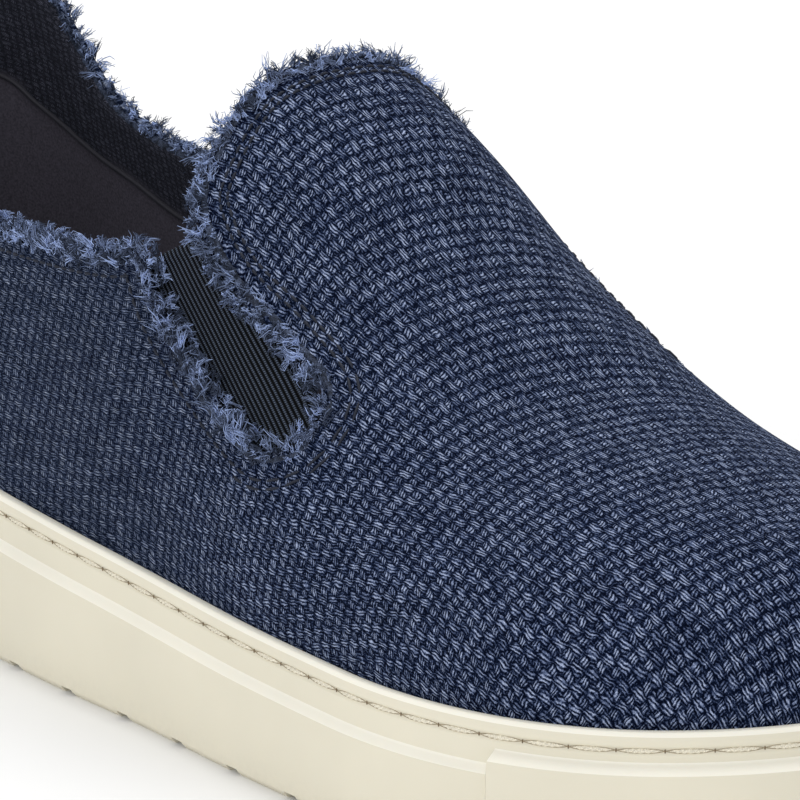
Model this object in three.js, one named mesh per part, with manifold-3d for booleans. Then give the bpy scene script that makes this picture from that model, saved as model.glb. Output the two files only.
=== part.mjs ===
// Right slip-on shoe: a canvas upper with frayed edges on a moulded cup sole.
// Lengths are millimetres. +X points to the toe, +Y to the inner side of the foot, +Z up.

import * as THREE from 'three';
import { mergeVertices } from 'three/addons/utils/BufferGeometryUtils.js';
import Module from 'manifold-3d';

const wasm = await Module();
wasm.setup();

// Driving sizes of the last
const lastLength = 290;
const ballWidth = 93;
const instepHeight = 73;
const heelHeight = 62;
const lipHeight = 27;

// Upper, lining and elastic
const upperWall = 2;
const seatGap = 0.3;
const goreThickness = 1.3;

// Frayed band along the raw edges
const frayDepth = 4.6;
const frayProud = 0.7;
const frayPitch = 6;
const frayReach = 1.3;
const frayUneven = 0.4;
const frayBeat = 2.4;
const frayRootWidth = 1.06;
const frayTipWidth = 0.62;
const frayRootRise = 0.4;
const frayTipSink = 0.8;
const frayRootSink = 0.5;

// Cup sole
const heelFloor = 12;
const ballFloor = 8;
const shankFrom = 0.2;
const shankTo = 0.6;
const toeSpring = 5;
const springStart = 0.78;
const bandOut = 2.7;
const lipRound = 1.2;
const grooveBelow = 3.5;
const grooveDepth = 0.8;
const grooveWidth = 1.6;
const ledgeBelow = 7.2;
const ledgeOut = 1.5;
const ledgeBevel = 1.2;
const wallFlare = 0.4;
const bottomChamfer = 1;
const wrapStart = 0.885;
const wrapBelow = 5.2;
const wrapOut = 1.1;

// Tread
const treadPitch = 16;
const treadGroove = 3;
const treadDepth = 1.5;
const treadMiddle = 137;
const waistFrom = 0.335;
const waistTo = 0.455;
const waistRim = 9;
const waistDepth = 2;

// Insole
const insoleThickness = 4.5;
const insoleRim = 8;
const insoleDish = 1;

// Fineness of the forms
const stationCount = 34;
const stationCrowding = 0.8;
const turnCount = 9;
const edgeFineness = 110;
const loopFineness = 440;
const seekPasses = 12;
const normalStep = 2e-3;
const weldLimit = 1e-3;
const mergeLimit = 0.03;

// Half widths of the last's bottom outline, as shares of the ball width
const outlineRows = [
  { share: 0.0, outer: 0.333, inner: 0.333 },
  { share: 0.1, outer: 0.35, inner: 0.35 },
  { share: 0.2, outer: 0.366, inner: 0.352 },
  { share: 0.3, outer: 0.405, inner: 0.345 },
  { share: 0.4, outer: 0.458, inner: 0.34 },
  { share: 0.5, outer: 0.48, inner: 0.35 },
  { share: 0.6, outer: 0.484, inner: 0.402 },
  { share: 0.7, outer: 0.498, inner: 0.474 },
  { share: 0.8, outer: 0.5, inner: 0.502 },
  { share: 0.9, outer: 0.497, inner: 0.5 },
  { share: 1.0, outer: 0.495, inner: 0.495 },
];

// How the outline closes at its ends: span as a share of the length, power of the round
const heelRound = { span: 0.13, power: 0.5 };
const toeRound = { outer: { span: 0.22, power: 0.55 }, inner: { span: 0.19, power: 0.5 } };

// Cross sections: the crest's place along the length, the lip as a share of its height, the crest's
// rise above the lip as a share of the instep height, the roundness of walls and crest, and the belly
const sectionRows = [
  { share: 0.0, crest: 0.12, lip: 1.11, rise: 1.16, walls: 4.0, top: 1.6, belly: 0.05 },
  { share: 0.06, crest: 0.15, lip: 1.09, rise: 1.15, walls: 3.6, top: 1.6, belly: 0.05 },
  { share: 0.12, crest: 0.18, lip: 1.07, rise: 1.08, walls: 3.4, top: 1.45, belly: 0.04 },
  { share: 0.2, crest: 0.235, lip: 1.05, rise: 0.92, walls: 3.2, top: 1.35, belly: 0.03 },
  { share: 0.3, crest: 0.315, lip: 1.03, rise: 0.82, walls: 3.0, top: 1.3, belly: 0.02 },
  { share: 0.4, crest: 0.405, lip: 1.01, rise: 0.86, walls: 2.8, top: 1.4, belly: 0.02 },
  { share: 0.48, crest: 0.48, lip: 0.97, rise: 0.98, walls: 2.65, top: 1.48, belly: 0.01 },
  { share: 0.54, crest: 0.54, lip: 0.93, rise: 1.0, walls: 2.6, top: 1.5, belly: 0.01 },
  { share: 0.6, crest: 0.6, lip: 0.885, rise: 0.9, walls: 2.55, top: 1.55, belly: 0.01 },
  { share: 0.66, crest: 0.66, lip: 0.85, rise: 0.72, walls: 2.45, top: 1.6, belly: 0.02 },
  { share: 0.72, crest: 0.72, lip: 0.825, rise: 0.565, walls: 2.35, top: 1.7, belly: 0.02 },
  { share: 0.8, crest: 0.785, lip: 0.8, rise: 0.455, walls: 2.2, top: 1.8, belly: 0.03 },
  { share: 0.88, crest: 0.85, lip: 0.79, rise: 0.405, walls: 2.15, top: 1.85, belly: 0.03 },
  { share: 0.94, crest: 0.895, lip: 0.805, rise: 0.365, walls: 2.05, top: 1.85, belly: 0.03 },
  { share: 1.0, crest: 0.935, lip: 0.85, rise: 0.315, walls: 1.9, top: 1.85, belly: 0.03 },
];

// Edge of the opening seen from the side, from the heel over the dip of the collar, down and up the gore
// slot and up the back of the tab: its height above the lip in shares of the heel and instep heights, and
// how much lower the inner side runs, as a share of the instep height
const edgeRows = [
  { share: 0.0, heel: 1.0, lower: 0 },
  { share: 0.06, heel: 1.0, lower: 0 },
  { share: 0.115, heel: 0.965, lower: 0.015 },
  { share: 0.15, heel: 0.82, lower: 0.03 },
  { share: 0.183, heel: 0.685, lower: 0.03 },
  { share: 0.235, heel: 0.63, lower: 0.03 },
  { share: 0.34, heel: 0.63, lower: 0.025 },
  { share: 0.44, instep: 0.572, lower: 0.02 },
  { share: 0.505, instep: 0.612, lower: 0.01 },
  { share: 0.53, instep: 0.634, lower: 0.01 },
  { share: 0.538, instep: 0.62, lower: 0.01 },
  { share: 0.562, instep: 0.545, lower: 0.02 },
  { share: 0.614, instep: 0.432, lower: 0.04 },
  { share: 0.653, instep: 0.371, lower: 0.055 },
  { share: 0.674, instep: 0.36, lower: 0.06 },
  { share: 0.69, instep: 0.395, lower: 0.06 },
  { share: 0.688, instep: 0.452, lower: 0.06 },
  { share: 0.652, instep: 0.53, lower: 0.05 },
  { share: 0.6, instep: 0.61, lower: 0.03 },
  { share: 0.573, instep: 0.672, lower: 0.02 },
  { share: 0.554, instep: 0.742, lower: 0.01 },
  { share: 0.546, instep: 0.848, lower: 0 },
  { share: 0.539, instep: 0.954, lower: 0 },
];

// Outline of the elastic seen from the side, from its top edge round below the slot
const goreRows = [
  { share: 0.516, instep: 0.565, lower: 0.01 },
  { share: 0.538, instep: 0.643, lower: 0.01 },
  { share: 0.579, instep: 0.729, lower: 0.02 },
  { share: 0.607, instep: 0.681, lower: 0.03 },
  { share: 0.662, instep: 0.59, lower: 0.05 },
  { share: 0.703, instep: 0.508, lower: 0.06 },
  { share: 0.712, instep: 0.407, lower: 0.06 },
  { share: 0.69, instep: 0.314, lower: 0.06 },
  { share: 0.655, instep: 0.281, lower: 0.055 },
  { share: 0.614, instep: 0.347, lower: 0.04 },
  { share: 0.559, instep: 0.456, lower: 0.02 },
];

const outerSide = -1;
const innerSide = 1;

// Value of one column at a share of the length, on a smooth curve through the rows
function along(rows, column, share) {
  const last = rows.length - 1;
  let k = 0;
  while (k < last - 1 && share > rows[k + 1].share) {
    k += 1;
  }
  const slope = (a, b) => (rows[b][column] - rows[a][column]) / (rows[b].share - rows[a].share);
  const tangent = (i) => slope(Math.max(i - 1, 0), Math.min(i + 1, last));
  const step = rows[k + 1].share - rows[k].share;
  const t = THREE.MathUtils.clamp((share - rows[k].share) / step, 0, 1);
  const t2 = t * t;
  const t3 = t2 * t;
  return (
    (2 * t3 - 3 * t2 + 1) * rows[k][column] +
    (t3 - 2 * t2 + t) * step * tangent(k) +
    (3 * t2 - 2 * t3) * rows[k + 1][column] +
    (t3 - t2) * step * tangent(k + 1)
  );
}

// Round closing factor, 1 inside the outline and 0 at its end
function endRound(distance, { span, power }) {
  const t = THREE.MathUtils.clamp(1 - distance / span, 0, 1);
  return Math.pow(1 - t * t, power);
}

function halfWidth(share, side) {
  const column = side === outerSide ? 'outer' : 'inner';
  const full = ballWidth * along(outlineRows, column, share);
  return full * endRound(share, heelRound) * endRound(1 - share, toeRound[column]);
}

function lipAt(share) {
  return lipHeight * along(sectionRows, 'lip', share);
}

function groundAt(share) {
  const t = Math.max((share - springStart) / (1 - springStart), 0);
  return toeSpring * t * t;
}

function floorAt(share) {
  const t = THREE.MathUtils.smoothstep(share, shankFrom, shankTo);
  return groundAt(share) + THREE.MathUtils.lerp(heelFloor, ballFloor, t);
}

// Point of the last's surface: a share of the length, a turn from the lip up to the crest, and a side
function lastPoint(share, turn, side) {
  const walls = along(sectionRows, 'walls', share);
  const top = along(sectionRows, 'top', share);
  const rise = instepHeight * along(sectionRows, 'rise', share);
  const climb = Math.pow(Math.sin(turn), 2 / top);
  const belly = along(sectionRows, 'belly', share) * Math.sin(Math.PI * climb);
  const spread = Math.pow(Math.max(Math.cos(turn), 0), 2 / walls) + belly;
  const crest = along(sectionRows, 'crest', share);
  return new THREE.Vector3(
    lastLength * THREE.MathUtils.lerp(crest, share, spread),
    side * halfWidth(share, side) * spread,
    lipAt(share) + rise * climb,
  );
}

// Shares of the stations, closer together at heel and toe
const stations = Array.from({ length: stationCount + 1 }, (_, i) => {
  const t = i / stationCount;
  return t - (stationCrowding * Math.sin(2 * Math.PI * t)) / (2 * Math.PI);
});

function keyOf(point) {
  return point.toArray().map((value) => Math.round(value / weldLimit)).join(' ');
}

// Unit normals of a faceted surface, shared by the points that lie together
function smoothNormals(points, faces) {
  const sums = new Map();
  for (const point of points) {
    sums.set(keyOf(point), new THREE.Vector3());
  }
  for (const [a, b, c] of faces) {
    const ab = points[b].clone().sub(points[a]);
    const ac = points[c].clone().sub(points[a]);
    const normal = ab.cross(ac);
    for (const corner of [a, b, c]) {
      sums.get(keyOf(points[corner])).add(normal);
    }
  }
  return points.map((point) => sums.get(keyOf(point)).clone().normalize());
}

// Two triangles of a four-sided face
function quad(faces, a, b, c, d) {
  faces.push([a, b, c], [a, c, d]);
}

function solidOf(points, faces) {
  const geometry = new THREE.BufferGeometry();
  geometry.setAttribute('position', new THREE.Float32BufferAttribute(points.flatMap((p) => p.toArray()), 3));
  geometry.setIndex(faces.flat());
  return solidFrom(geometry);
}

function solidFrom(source) {
  const bare = source.clone();
  bare.deleteAttribute('normal');
  bare.deleteAttribute('uv');
  const geometry = mergeVertices(bare, weldLimit);
  const index = geometry.index.array;
  const triangles = [];
  for (let i = 0; i < index.length; i += 3) {
    const [a, b, c] = index.slice(i, i + 3);
    if (a !== b && b !== c && c !== a) {
      triangles.push(a, b, c);
    }
  }
  return new wasm.Manifold(
    new wasm.Mesh({
      numProp: 3,
      vertProperties: new Float32Array(geometry.attributes.position.array),
      triVerts: new Uint32Array(triangles),
    }),
  );
}

function geometryOf(solid) {
  const mesh = solid.getMesh();
  const geometry = new THREE.BufferGeometry();
  geometry.setAttribute('position', new THREE.Float32BufferAttribute(mesh.vertProperties, 3));
  geometry.setIndex(Array.from(mesh.triVerts));
  return geometry;
}

// The last as a closed solid, grown outwards by an amount, with its foot on the floor of the cup
function lastSolid(growth, drop) {
  const turns = Array.from({ length: turnCount + 1 }, (_, j) => (Math.PI / 2) * (j / turnCount));
  const seats = [
    ...turns.map((turn) => ({ turn, side: outerSide })),
    ...turns.slice(0, -1).reverse().map((turn) => ({ turn, side: innerSide })),
  ];
  const width = seats.length + 2;
  const points = [];
  for (const share of stations) {
    const row = seats.map(({ turn, side }) => lastPoint(share, turn, side));
    const foot = floorAt(share) + seatGap;
    points.push(row[0].clone().setZ(foot), ...row, row[row.length - 1].clone().setZ(foot));
  }
  const skin = [];
  for (let i = 0; i < stationCount; i += 1) {
    for (let j = 0; j < width - 1; j += 1) {
      const a = i * width + j;
      quad(skin, a, a + width, a + width + 1, a + 1);
    }
  }
  const normals = smoothNormals(points, skin);
  const grown = points.map((point, i) => point.clone().addScaledVector(normals[i], growth));
  const base = [];
  for (let i = 0; i <= stationCount; i += 1) {
    grown[i * width].z = points[i * width].z - drop;
    grown[(i + 1) * width - 1].z = points[(i + 1) * width - 1].z - drop;
  }
  for (let i = 0; i < stationCount; i += 1) {
    const a = i * width;
    quad(base, a, a + width - 1, a + 2 * width - 1, a + width);
  }
  return solidOf(grown, [...skin, ...base]);
}

// Closed plan ring round the last's outline, moved outwards by an amount: out along the outer side from
// heel to toe, and back along the inner side
function ring(shares, outAt, heightAt) {
  const last = shares.length - 1;
  const seats = [
    ...shares.map((share) => ({ share, side: outerSide })),
    ...shares.slice(1, -1).reverse().map((share) => ({ share, side: innerSide })),
  ];
  const base = seats.map(({ share, side }) => {
    return new THREE.Vector3(share * lastLength, side * halfWidth(share, side), 0);
  });
  return seats.map(({ share }, i) => {
    const before = base[(i + 2 * last - 1) % (2 * last)];
    const after = base[(i + 1) % (2 * last)];
    const travel = after.clone().sub(before).normalize();
    const outward = new THREE.Vector3(travel.y, -travel.x, 0);
    return base[i].clone().addScaledVector(outward, outAt(share)).setZ(heightAt(share));
  });
}

// Solid through plan rings from its underside outwards, upwards and in again, closed below and above
function ringSolid(shares, rows) {
  const last = shares.length - 1;
  const around = 2 * last;
  const points = rows.flatMap((row) => ring(shares, row.out, row.height));
  const faces = [];
  for (let r = 0; r < rows.length - 1; r += 1) {
    for (let i = 0; i < around; i += 1) {
      const next = (i + 1) % around;
      quad(faces, r * around + i, r * around + next, (r + 1) * around + next, (r + 1) * around + i);
    }
  }
  const top = (rows.length - 1) * around;
  for (let i = 0; i < last; i += 1) {
    const mirrored = (around - i) % around;
    quad(faces, i, mirrored, around - i - 1, i + 1);
    quad(faces, top + i, top + i + 1, top + around - i - 1, top + mirrored);
  }
  return solidOf(points, faces);
}

// Profile of the cup's wall from the tread's edge to the floor inside, raised at the toe wrap
function cupRows() {
  const wrapped = (share) => share >= wrapStart;
  const wallOut = (share) => bandOut + ledgeOut + (wrapped(share) ? wrapOut : 0);
  const ledgeDepth = (share) => (wrapped(share) ? wrapBelow : ledgeBelow);
  const lipMiddle = (bandOut + seatGap) / 2;
  return [
    { out: (s) => wallOut(s) + wallFlare - bottomChamfer, height: groundAt },
    { out: (s) => wallOut(s) + wallFlare, height: (s) => groundAt(s) + bottomChamfer },
    { out: wallOut, height: (s) => lipAt(s) - ledgeDepth(s) - ledgeBevel },
    { out: () => bandOut, height: (s) => lipAt(s) - ledgeDepth(s) },
    { out: () => bandOut, height: (s) => lipAt(s) - grooveBelow - grooveWidth / 2 },
    { out: () => bandOut - grooveDepth, height: (s) => lipAt(s) - grooveBelow },
    { out: () => bandOut, height: (s) => lipAt(s) - grooveBelow + grooveWidth / 2 },
    { out: () => bandOut, height: (s) => lipAt(s) - lipRound },
    { out: () => lipMiddle, height: lipAt },
    { out: () => seatGap, height: (s) => lipAt(s) - seatGap },
    { out: () => seatGap, height: floorAt },
  ];
}

// Straight grooves across the tread, one pitch apart, clear of the hollow at the waist
function treadCuts() {
  const cuts = [];
  const first = -Math.floor(treadMiddle / treadPitch);
  const last = Math.floor((lastLength - treadMiddle) / treadPitch);
  for (let k = first; k <= last; k += 1) {
    const x = treadMiddle + k * treadPitch;
    const share = x / lastLength;
    const inWaist = share > waistFrom && share < waistTo;
    if (!inWaist) {
      const height = 2 * treadDepth + toeSpring;
      const groove = new THREE.BoxGeometry(treadGroove, 2 * ballWidth, height);
      groove.translate(x, 0, groundAt(share) + treadDepth - height / 2);
      cuts.push(solidFrom(groove));
    }
  }
  return cuts;
}

// Hollow under the arch, inside a rim that follows the outline
function waistHollow() {
  const inset = () => bandOut + ledgeOut - waistRim;
  const count = 6;
  const shares = Array.from({ length: count + 1 }, (_, i) => {
    return THREE.MathUtils.lerp(waistFrom, waistTo, i / count);
  });
  const plan = ring([0, ...shares, 1], inset, () => 0);
  const kept = [...plan.slice(1, count + 2), ...plan.slice(count + 3)];
  const shape = new THREE.Shape(kept.map((p) => new THREE.Vector2(p.x, p.y)));
  const geometry = new THREE.ExtrudeGeometry(shape, { depth: 2 * waistDepth, bevelEnabled: false });
  geometry.translate(0, 0, -waistDepth);
  return solidFrom(geometry);
}

function cupSolid() {
  const wrapStep = wrapOut / 2 / lastLength;
  const shares = [...stations, wrapStart - wrapStep, wrapStart].sort((a, b) => a - b);
  const cup = ringSolid(shares, cupRows());
  return [...treadCuts(), waistHollow()].reduce((solid, cut) => solid.subtract(cut), cup);
}

function insoleSolid() {
  const edge = -(upperWall + seatGap);
  const underside = (s) => floorAt(s) + seatGap;
  return ringSolid(stations, [
    { out: () => edge, height: underside },
    { out: () => edge, height: (s) => underside(s) + insoleThickness },
    { out: () => edge - insoleRim, height: (s) => underside(s) + insoleThickness - insoleDish },
  ]);
}

// Point of the side view from a row's heights above the lip
function viewPoint({ share, heel = 0, instep = 0, lower }, side) {
  const rise = instep - (side === innerSide ? lower : 0);
  return new THREE.Vector3(share * lastLength, 0, lipAt(share) + heel * heelHeight + rise * instepHeight);
}

function edgeCurve(side) {
  const points = edgeRows.map((row) => viewPoint(row, side));
  return new THREE.CatmullRomCurve3(points, false, 'centripetal');
}

// Solid that stands on a side-view outline, from the shoe's middle out to one side
function fromMiddle(outline, side) {
  const shape = new THREE.Shape(outline.map((p) => new THREE.Vector2(p.x, p.z)));
  const geometry = new THREE.ExtrudeGeometry(shape, { depth: ballWidth, bevelEnabled: false });
  geometry.rotateX(Math.PI / 2);
  geometry.translate(0, side === innerSide ? ballWidth : 0, 0);
  return solidFrom(geometry);
}

function openingSolid(side) {
  const edge = edgeCurve(side).getSpacedPoints(edgeFineness);
  const start = edge[0];
  const end = edge[edge.length - 1];
  const high = lipHeight + heelHeight + instepHeight;
  const behind = -heelHeight;
  const outline = [
    new THREE.Vector3(behind, 0, start.z),
    ...edge,
    new THREE.Vector3(end.x, 0, high),
    new THREE.Vector3(behind, 0, high),
  ];
  return fromMiddle(outline, side);
}

// Place on the last's surface that shows at a point of the side view
function placeOnLast(view, side) {
  let share = view.x / lastLength;
  let turn = 0;
  for (let pass = 0; pass < seekPasses; pass += 1) {
    const rise = instepHeight * along(sectionRows, 'rise', share);
    const climb = THREE.MathUtils.clamp((view.z - lipAt(share)) / rise, 0, 1);
    turn = Math.asin(Math.pow(climb, along(sectionRows, 'top', share) / 2));
    const found = lastPoint(share, turn, side);
    share = THREE.MathUtils.clamp(share + (view.x - found.x) / lastLength, 0, 1);
  }
  return { share, turn, side };
}

// Point and outward normal of the last at a place
function surfaceAt({ share, turn, side }) {
  const small = normalStep;
  const point = lastPoint(share, turn, side);
  const along1 = share < small ? lastPoint(small, turn, -side) : lastPoint(share - small, turn, side);
  const along2 = lastPoint(Math.max(share, 0) + small, turn, side);
  const nearCrest = turn > Math.PI / 2 - small;
  const up1 = lastPoint(share, turn - small, side);
  const up2 = nearCrest ? lastPoint(share, turn - small, -side) : lastPoint(share, turn + small, side);
  const normal = along2.sub(along1).cross(up2.sub(up1)).normalize();
  const core = new THREE.Vector3(point.x, 0, lipAt(share));
  if (share < small) {
    core.x = lastLength * along(sectionRows, 'crest', 0);
  }
  if (normal.dot(point.clone().sub(core)) < 0) {
    normal.negate();
  }
  return { point, normal };
}

// Raw edge of the upper as one closed loop: outer side from heel to tab, over the crest and back inside
function rawEdge() {
  const isOnLast = ({ share, turn, side }, view) => {
    return Math.abs(lastPoint(share, turn, side).x - view.x) < seatGap;
  };
  const tab = edgeRows[edgeRows.length - 1].share;
  const sideLoop = (side) => {
    const views = edgeCurve(side).getSpacedPoints(loopFineness);
    const seen = views.map((view) => ({ view, place: placeOnLast(view, side) }));
    const places = seen.filter(({ view, place }) => isOnLast(place, view)).map(({ place }) => place);
    const from = places[places.length - 1].turn;
    for (let k = 1; k <= turnCount; k += 1) {
      places.push({ share: tab, turn: THREE.MathUtils.lerp(from, Math.PI / 2, k / turnCount), side });
    }
    return places;
  };
  const heelView = viewPoint(edgeRows[0], outerSide);
  const outer = sideLoop(outerSide);
  const inner = sideLoop(innerSide).slice(0, -1).reverse();
  return [placeOnLast(heelView, outerSide), ...outer, ...inner].map(surfaceAt);
}

// Short tapered locks, side by side along the raw edge, rooted in the wall and reaching past it
function fraySolid() {
  const edge = rawEdge();
  const loop = [...edge, edge[0]];
  const reach = [0];
  for (let i = 1; i < loop.length; i += 1) {
    reach.push(reach[i - 1] + loop[i].point.distanceTo(loop[i - 1].point));
  }
  const total = reach[reach.length - 1];
  const at = (distance) => {
    const wanted = THREE.MathUtils.euclideanModulo(distance, total);
    const k = Math.max(reach.findIndex((value) => value > wanted), 1);
    const t = (wanted - reach[k - 1]) / (reach[k] - reach[k - 1]);
    return {
      point: loop[k - 1].point.clone().lerp(loop[k].point, t),
      normal: loop[k - 1].normal.clone().lerp(loop[k].normal, t).normalize(),
    };
  };
  const count = Math.round(total / frayPitch);
  const pitch = total / count;
  const locks = [];
  for (let i = 0; i < count; i += 1) {
    const { point, normal } = at(i * pitch);
    const travel = at((i + 0.5) * pitch).point.sub(at((i - 0.5) * pitch).point).normalize();
    const toOpening = normal.clone().cross(travel).normalize();
    const length = frayReach * (1 + frayUneven * Math.sin(frayBeat * i));
    const lock = new THREE.BoxGeometry(1, 1, 1);
    const corners = lock.attributes.position;
    for (let c = 0; c < corners.count; c += 1) {
      const isTip = corners.getZ(c) < 0;
      const isOuter = corners.getY(c) > 0;
      const width = pitch * (isTip ? frayTipWidth : frayRootWidth);
      const rise = isOuter
        ? frayProud * (isTip ? 1 : frayRootRise)
        : -upperWall * (isTip ? frayTipSink : frayRootSink);
      const corner = point
        .clone()
        .addScaledVector(travel, corners.getX(c) * width)
        .addScaledVector(normal, rise)
        .addScaledVector(toOpening, isTip ? length : -frayDepth);
      corners.setXYZ(c, corner.x, corner.y, corner.z);
    }
    locks.push(solidFrom(lock));
  }
  return wasm.Manifold.union(locks);
}

// The outermost skin of a solid, with any small bubbles between its joined pieces filled
function withoutBubbles(solid) {
  const skins = solid.simplify(mergeLimit).decompose().sort((a, b) => b.volume() - a.volume());
  return skins[0];
}

function upperSolid() {
  const opening = openingSolid(outerSide).add(openingSolid(innerSide));
  const wall = lastSolid(0, 0).subtract(lastSolid(-upperWall, heelFloor)).subtract(opening);
  return withoutBubbles(wall.add(fraySolid()));
}

// Elastic panel that lies behind the slot, on the inside of the upper's wall
function goreSolid(side) {
  const outerFace = -(upperWall + seatGap);
  const sheet = lastSolid(outerFace, 0).subtract(lastSolid(outerFace - goreThickness, heelFloor));
  const outline = goreRows.map((row) => viewPoint(row, side));
  return sheet.intersect(fromMiddle(outline, side));
}

const canvas = new THREE.MeshStandardMaterial({ color: 0x1f2a44, roughness: 0.95, metalness: 0 });
const rubber = new THREE.MeshStandardMaterial({ color: 0xe9e2d0, roughness: 0.6, metalness: 0 });
const elastic = new THREE.MeshStandardMaterial({ color: 0x15161a, roughness: 0.9, metalness: 0 });
const footbed = new THREE.MeshStandardMaterial({ color: 0x1b1715, roughness: 0.85, metalness: 0 });

const shoe = new THREE.Group();

function addPiece(name, solid, material) {
  const mesh = new THREE.Mesh(geometryOf(solid), material);
  mesh.name = name;
  shoe.add(mesh);
}

const cup = cupSolid();
addPiece('cupsole', cup, rubber);
addPiece('insole', insoleSolid(), footbed);
addPiece('upper', upperSolid(), canvas);
addPiece('gore_lateral', goreSolid(outerSide), elastic);
addPiece('gore_medial', goreSolid(innerSide), elastic);

// The origin is the middle of the cup's box, on the ground
const box = cup.boundingBox();
shoe.position.set(-(box.min[0] + box.max[0]) / 2, -(box.min[1] + box.max[1]) / 2, -box.min[2]);

export default shoe;
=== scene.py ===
"""Right slip-on shoe: navy basket-weave canvas with frayed edges on a cream cup sole.

The forms are worked out in millimetres from the heel, then put in metres in the frame of the CAD part.
"""

import functools
import math
import random

import bmesh
import bpy
import numpy as np
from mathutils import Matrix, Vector, noise
from mathutils.bvhtree import BVHTree
from mathutils.kdtree import KDTree


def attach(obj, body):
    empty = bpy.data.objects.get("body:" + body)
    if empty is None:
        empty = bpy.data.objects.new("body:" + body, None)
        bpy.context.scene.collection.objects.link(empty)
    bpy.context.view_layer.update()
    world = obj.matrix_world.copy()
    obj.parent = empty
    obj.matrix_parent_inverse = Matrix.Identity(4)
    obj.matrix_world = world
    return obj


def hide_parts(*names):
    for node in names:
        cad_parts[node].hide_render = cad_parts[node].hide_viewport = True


bl_info = {
    "name": "Frayed canvas slip-on shoe",
    "version": (1, 0, 0),
    "blender": (4, 5, 0),
    "location": "View3D > Sidebar > Shoe",
    "description": "Builds a canvas slip-on with raw edges on a stitched cup sole",
    "category": "Add Mesh",
}

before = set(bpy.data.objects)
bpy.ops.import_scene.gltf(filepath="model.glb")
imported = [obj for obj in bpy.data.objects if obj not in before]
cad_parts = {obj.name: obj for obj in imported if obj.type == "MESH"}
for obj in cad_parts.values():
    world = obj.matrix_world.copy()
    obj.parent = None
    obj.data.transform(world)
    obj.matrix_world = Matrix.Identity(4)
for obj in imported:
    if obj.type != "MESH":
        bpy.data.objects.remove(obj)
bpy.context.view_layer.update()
METRES = 0.001

# Finenesses of the sheets: stations along the shoe, turns from the lip to the crest, rows below the lip
CANVAS_STATIONS, CANVAS_TURNS = 300, 62
LINING_STATIONS, LINING_TURNS = 260, 50
FOOT_ROWS = 3
CANVAS_INSET = 1.2
LINING_INSET = 2.4
SAME_PLACE = 1e-4
RIM_REACH = 4.0
EDGE_SPACING = 0.5

# Driving sizes of the last, in millimetres
LAST_LENGTH = 290.0
BALL_WIDTH = 93.0
INSTEP_HEIGHT = 73.0
HEEL_HEIGHT = 62.0
LIP_HEIGHT = 27.0

# Upper, lining and elastic
UPPER_WALL = 2.0
SEAT_GAP = 0.3
CANVAS_THICKNESS = 1.1
LINING_THICKNESS = 0.5
LINING_GAP = 0.1
COLLAR_BAND_DEPTH = 15.0
COLLAR_BAND_THICKNESS = 0.45
COLLAR_SEAM_END = (146.0, 154.0)
SEAM_RADIUS = 0.42
GORE_THICKNESS = 1.1
RIB_PITCH = 0.78
RIB_STEPS = 6
GORE_ROWS = 60

# How the cloth lies: its fall towards the toe along the quarters, and where it turns round the heel
CLOTH_FALL = 0.2
CLOTH_NARROWING = 0.6
STEEPEST_PROFILE = 1.7
HEEL_TURN_SHARE = 0.3
TOE_FADE = (222.0, 262.0)
TOE_CENTRE = 190.0
QUARTER_FADE = (150.0, 205.0)
QUARTER_LEVEL = 18.0
QUARTER_FINENESS = 0.42

# Cup sole
HEEL_FLOOR = 12.0
BALL_FLOOR = 8.0
SHANK_FROM = 0.2
SHANK_TO = 0.6
TOE_SPRING = 5.0
SPRING_START = 0.78
BAND_OUT = 2.7
LIP_ROUND = 1.2
LIP_LIFT = 0.85
LIP_LIFT_REACH = (0.35, 0.85)
GROOVE_BELOW = 2.85
GROOVE_DEPTH = 0.6
GROOVE_WIDTH = 1.3
LEDGE_BELOW = 7.2
LEDGE_OUT = 1.5
LEDGE_BEVEL = 1.2
WALL_FLARE = 0.4
BOTTOM_CHAMFER = 1.0
WRAP_START = 0.885
WRAP_BELOW = 4.7
LEDGE_HIGHER_BEHIND = 0.9
WRAP_OUT = 1.1
WRAP_EDGE = 0.7

# Fineness and twist of the sole's stitches
STITCH_STEPS = 18
STITCH_TURNS = 3.5

# Middle of the shoe's plan, which stands at the frame's origin
FRAME_MIDDLE = Vector(((LAST_LENGTH + WRAP_OUT) / 2, 0.057, 0))

# Rows of the cup's profile that take a lighter rubber as a painted highlight where they catch the light: the
# ledge's bevel, and the lip's inner round
PAINTED_HIGHLIGHT_ROWS = (*range(8, 12), *range(29, 42))

# Tread
TREAD_PITCH = 16.0
TREAD_GROOVE = 3.0
TREAD_DEPTH = 1.1
TREAD_MIDDLE = 137.0
WAIST_FROM = 0.335
WAIST_TO = 0.455
WAIST_RIM = 9.0
WAIST_DEPTH = 2.0

# Insole
INSOLE_THICKNESS = 4.5
INSOLE_RIM = 8.0
INSOLE_DISH = 1.0

# Half widths of the last's bottom outline, as shares of the ball width: share, outer, inner
OUTLINE = (
    (0.0, 0.333, 0.333),
    (0.1, 0.35, 0.35),
    (0.2, 0.366, 0.352),
    (0.3, 0.405, 0.345),
    (0.4, 0.458, 0.34),
    (0.5, 0.48, 0.35),
    (0.6, 0.484, 0.402),
    (0.7, 0.498, 0.474),
    (0.8, 0.5, 0.502),
    (0.9, 0.497, 0.5),
    (1.0, 0.495, 0.495),
)
OUTER, INNER = 1, 2
HEEL_ROUND = (0.13, 0.5)
TOE_ROUND_OUTER = (0.22, 0.55)
TOE_ROUND_INNER = (0.19, 0.5)

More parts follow.
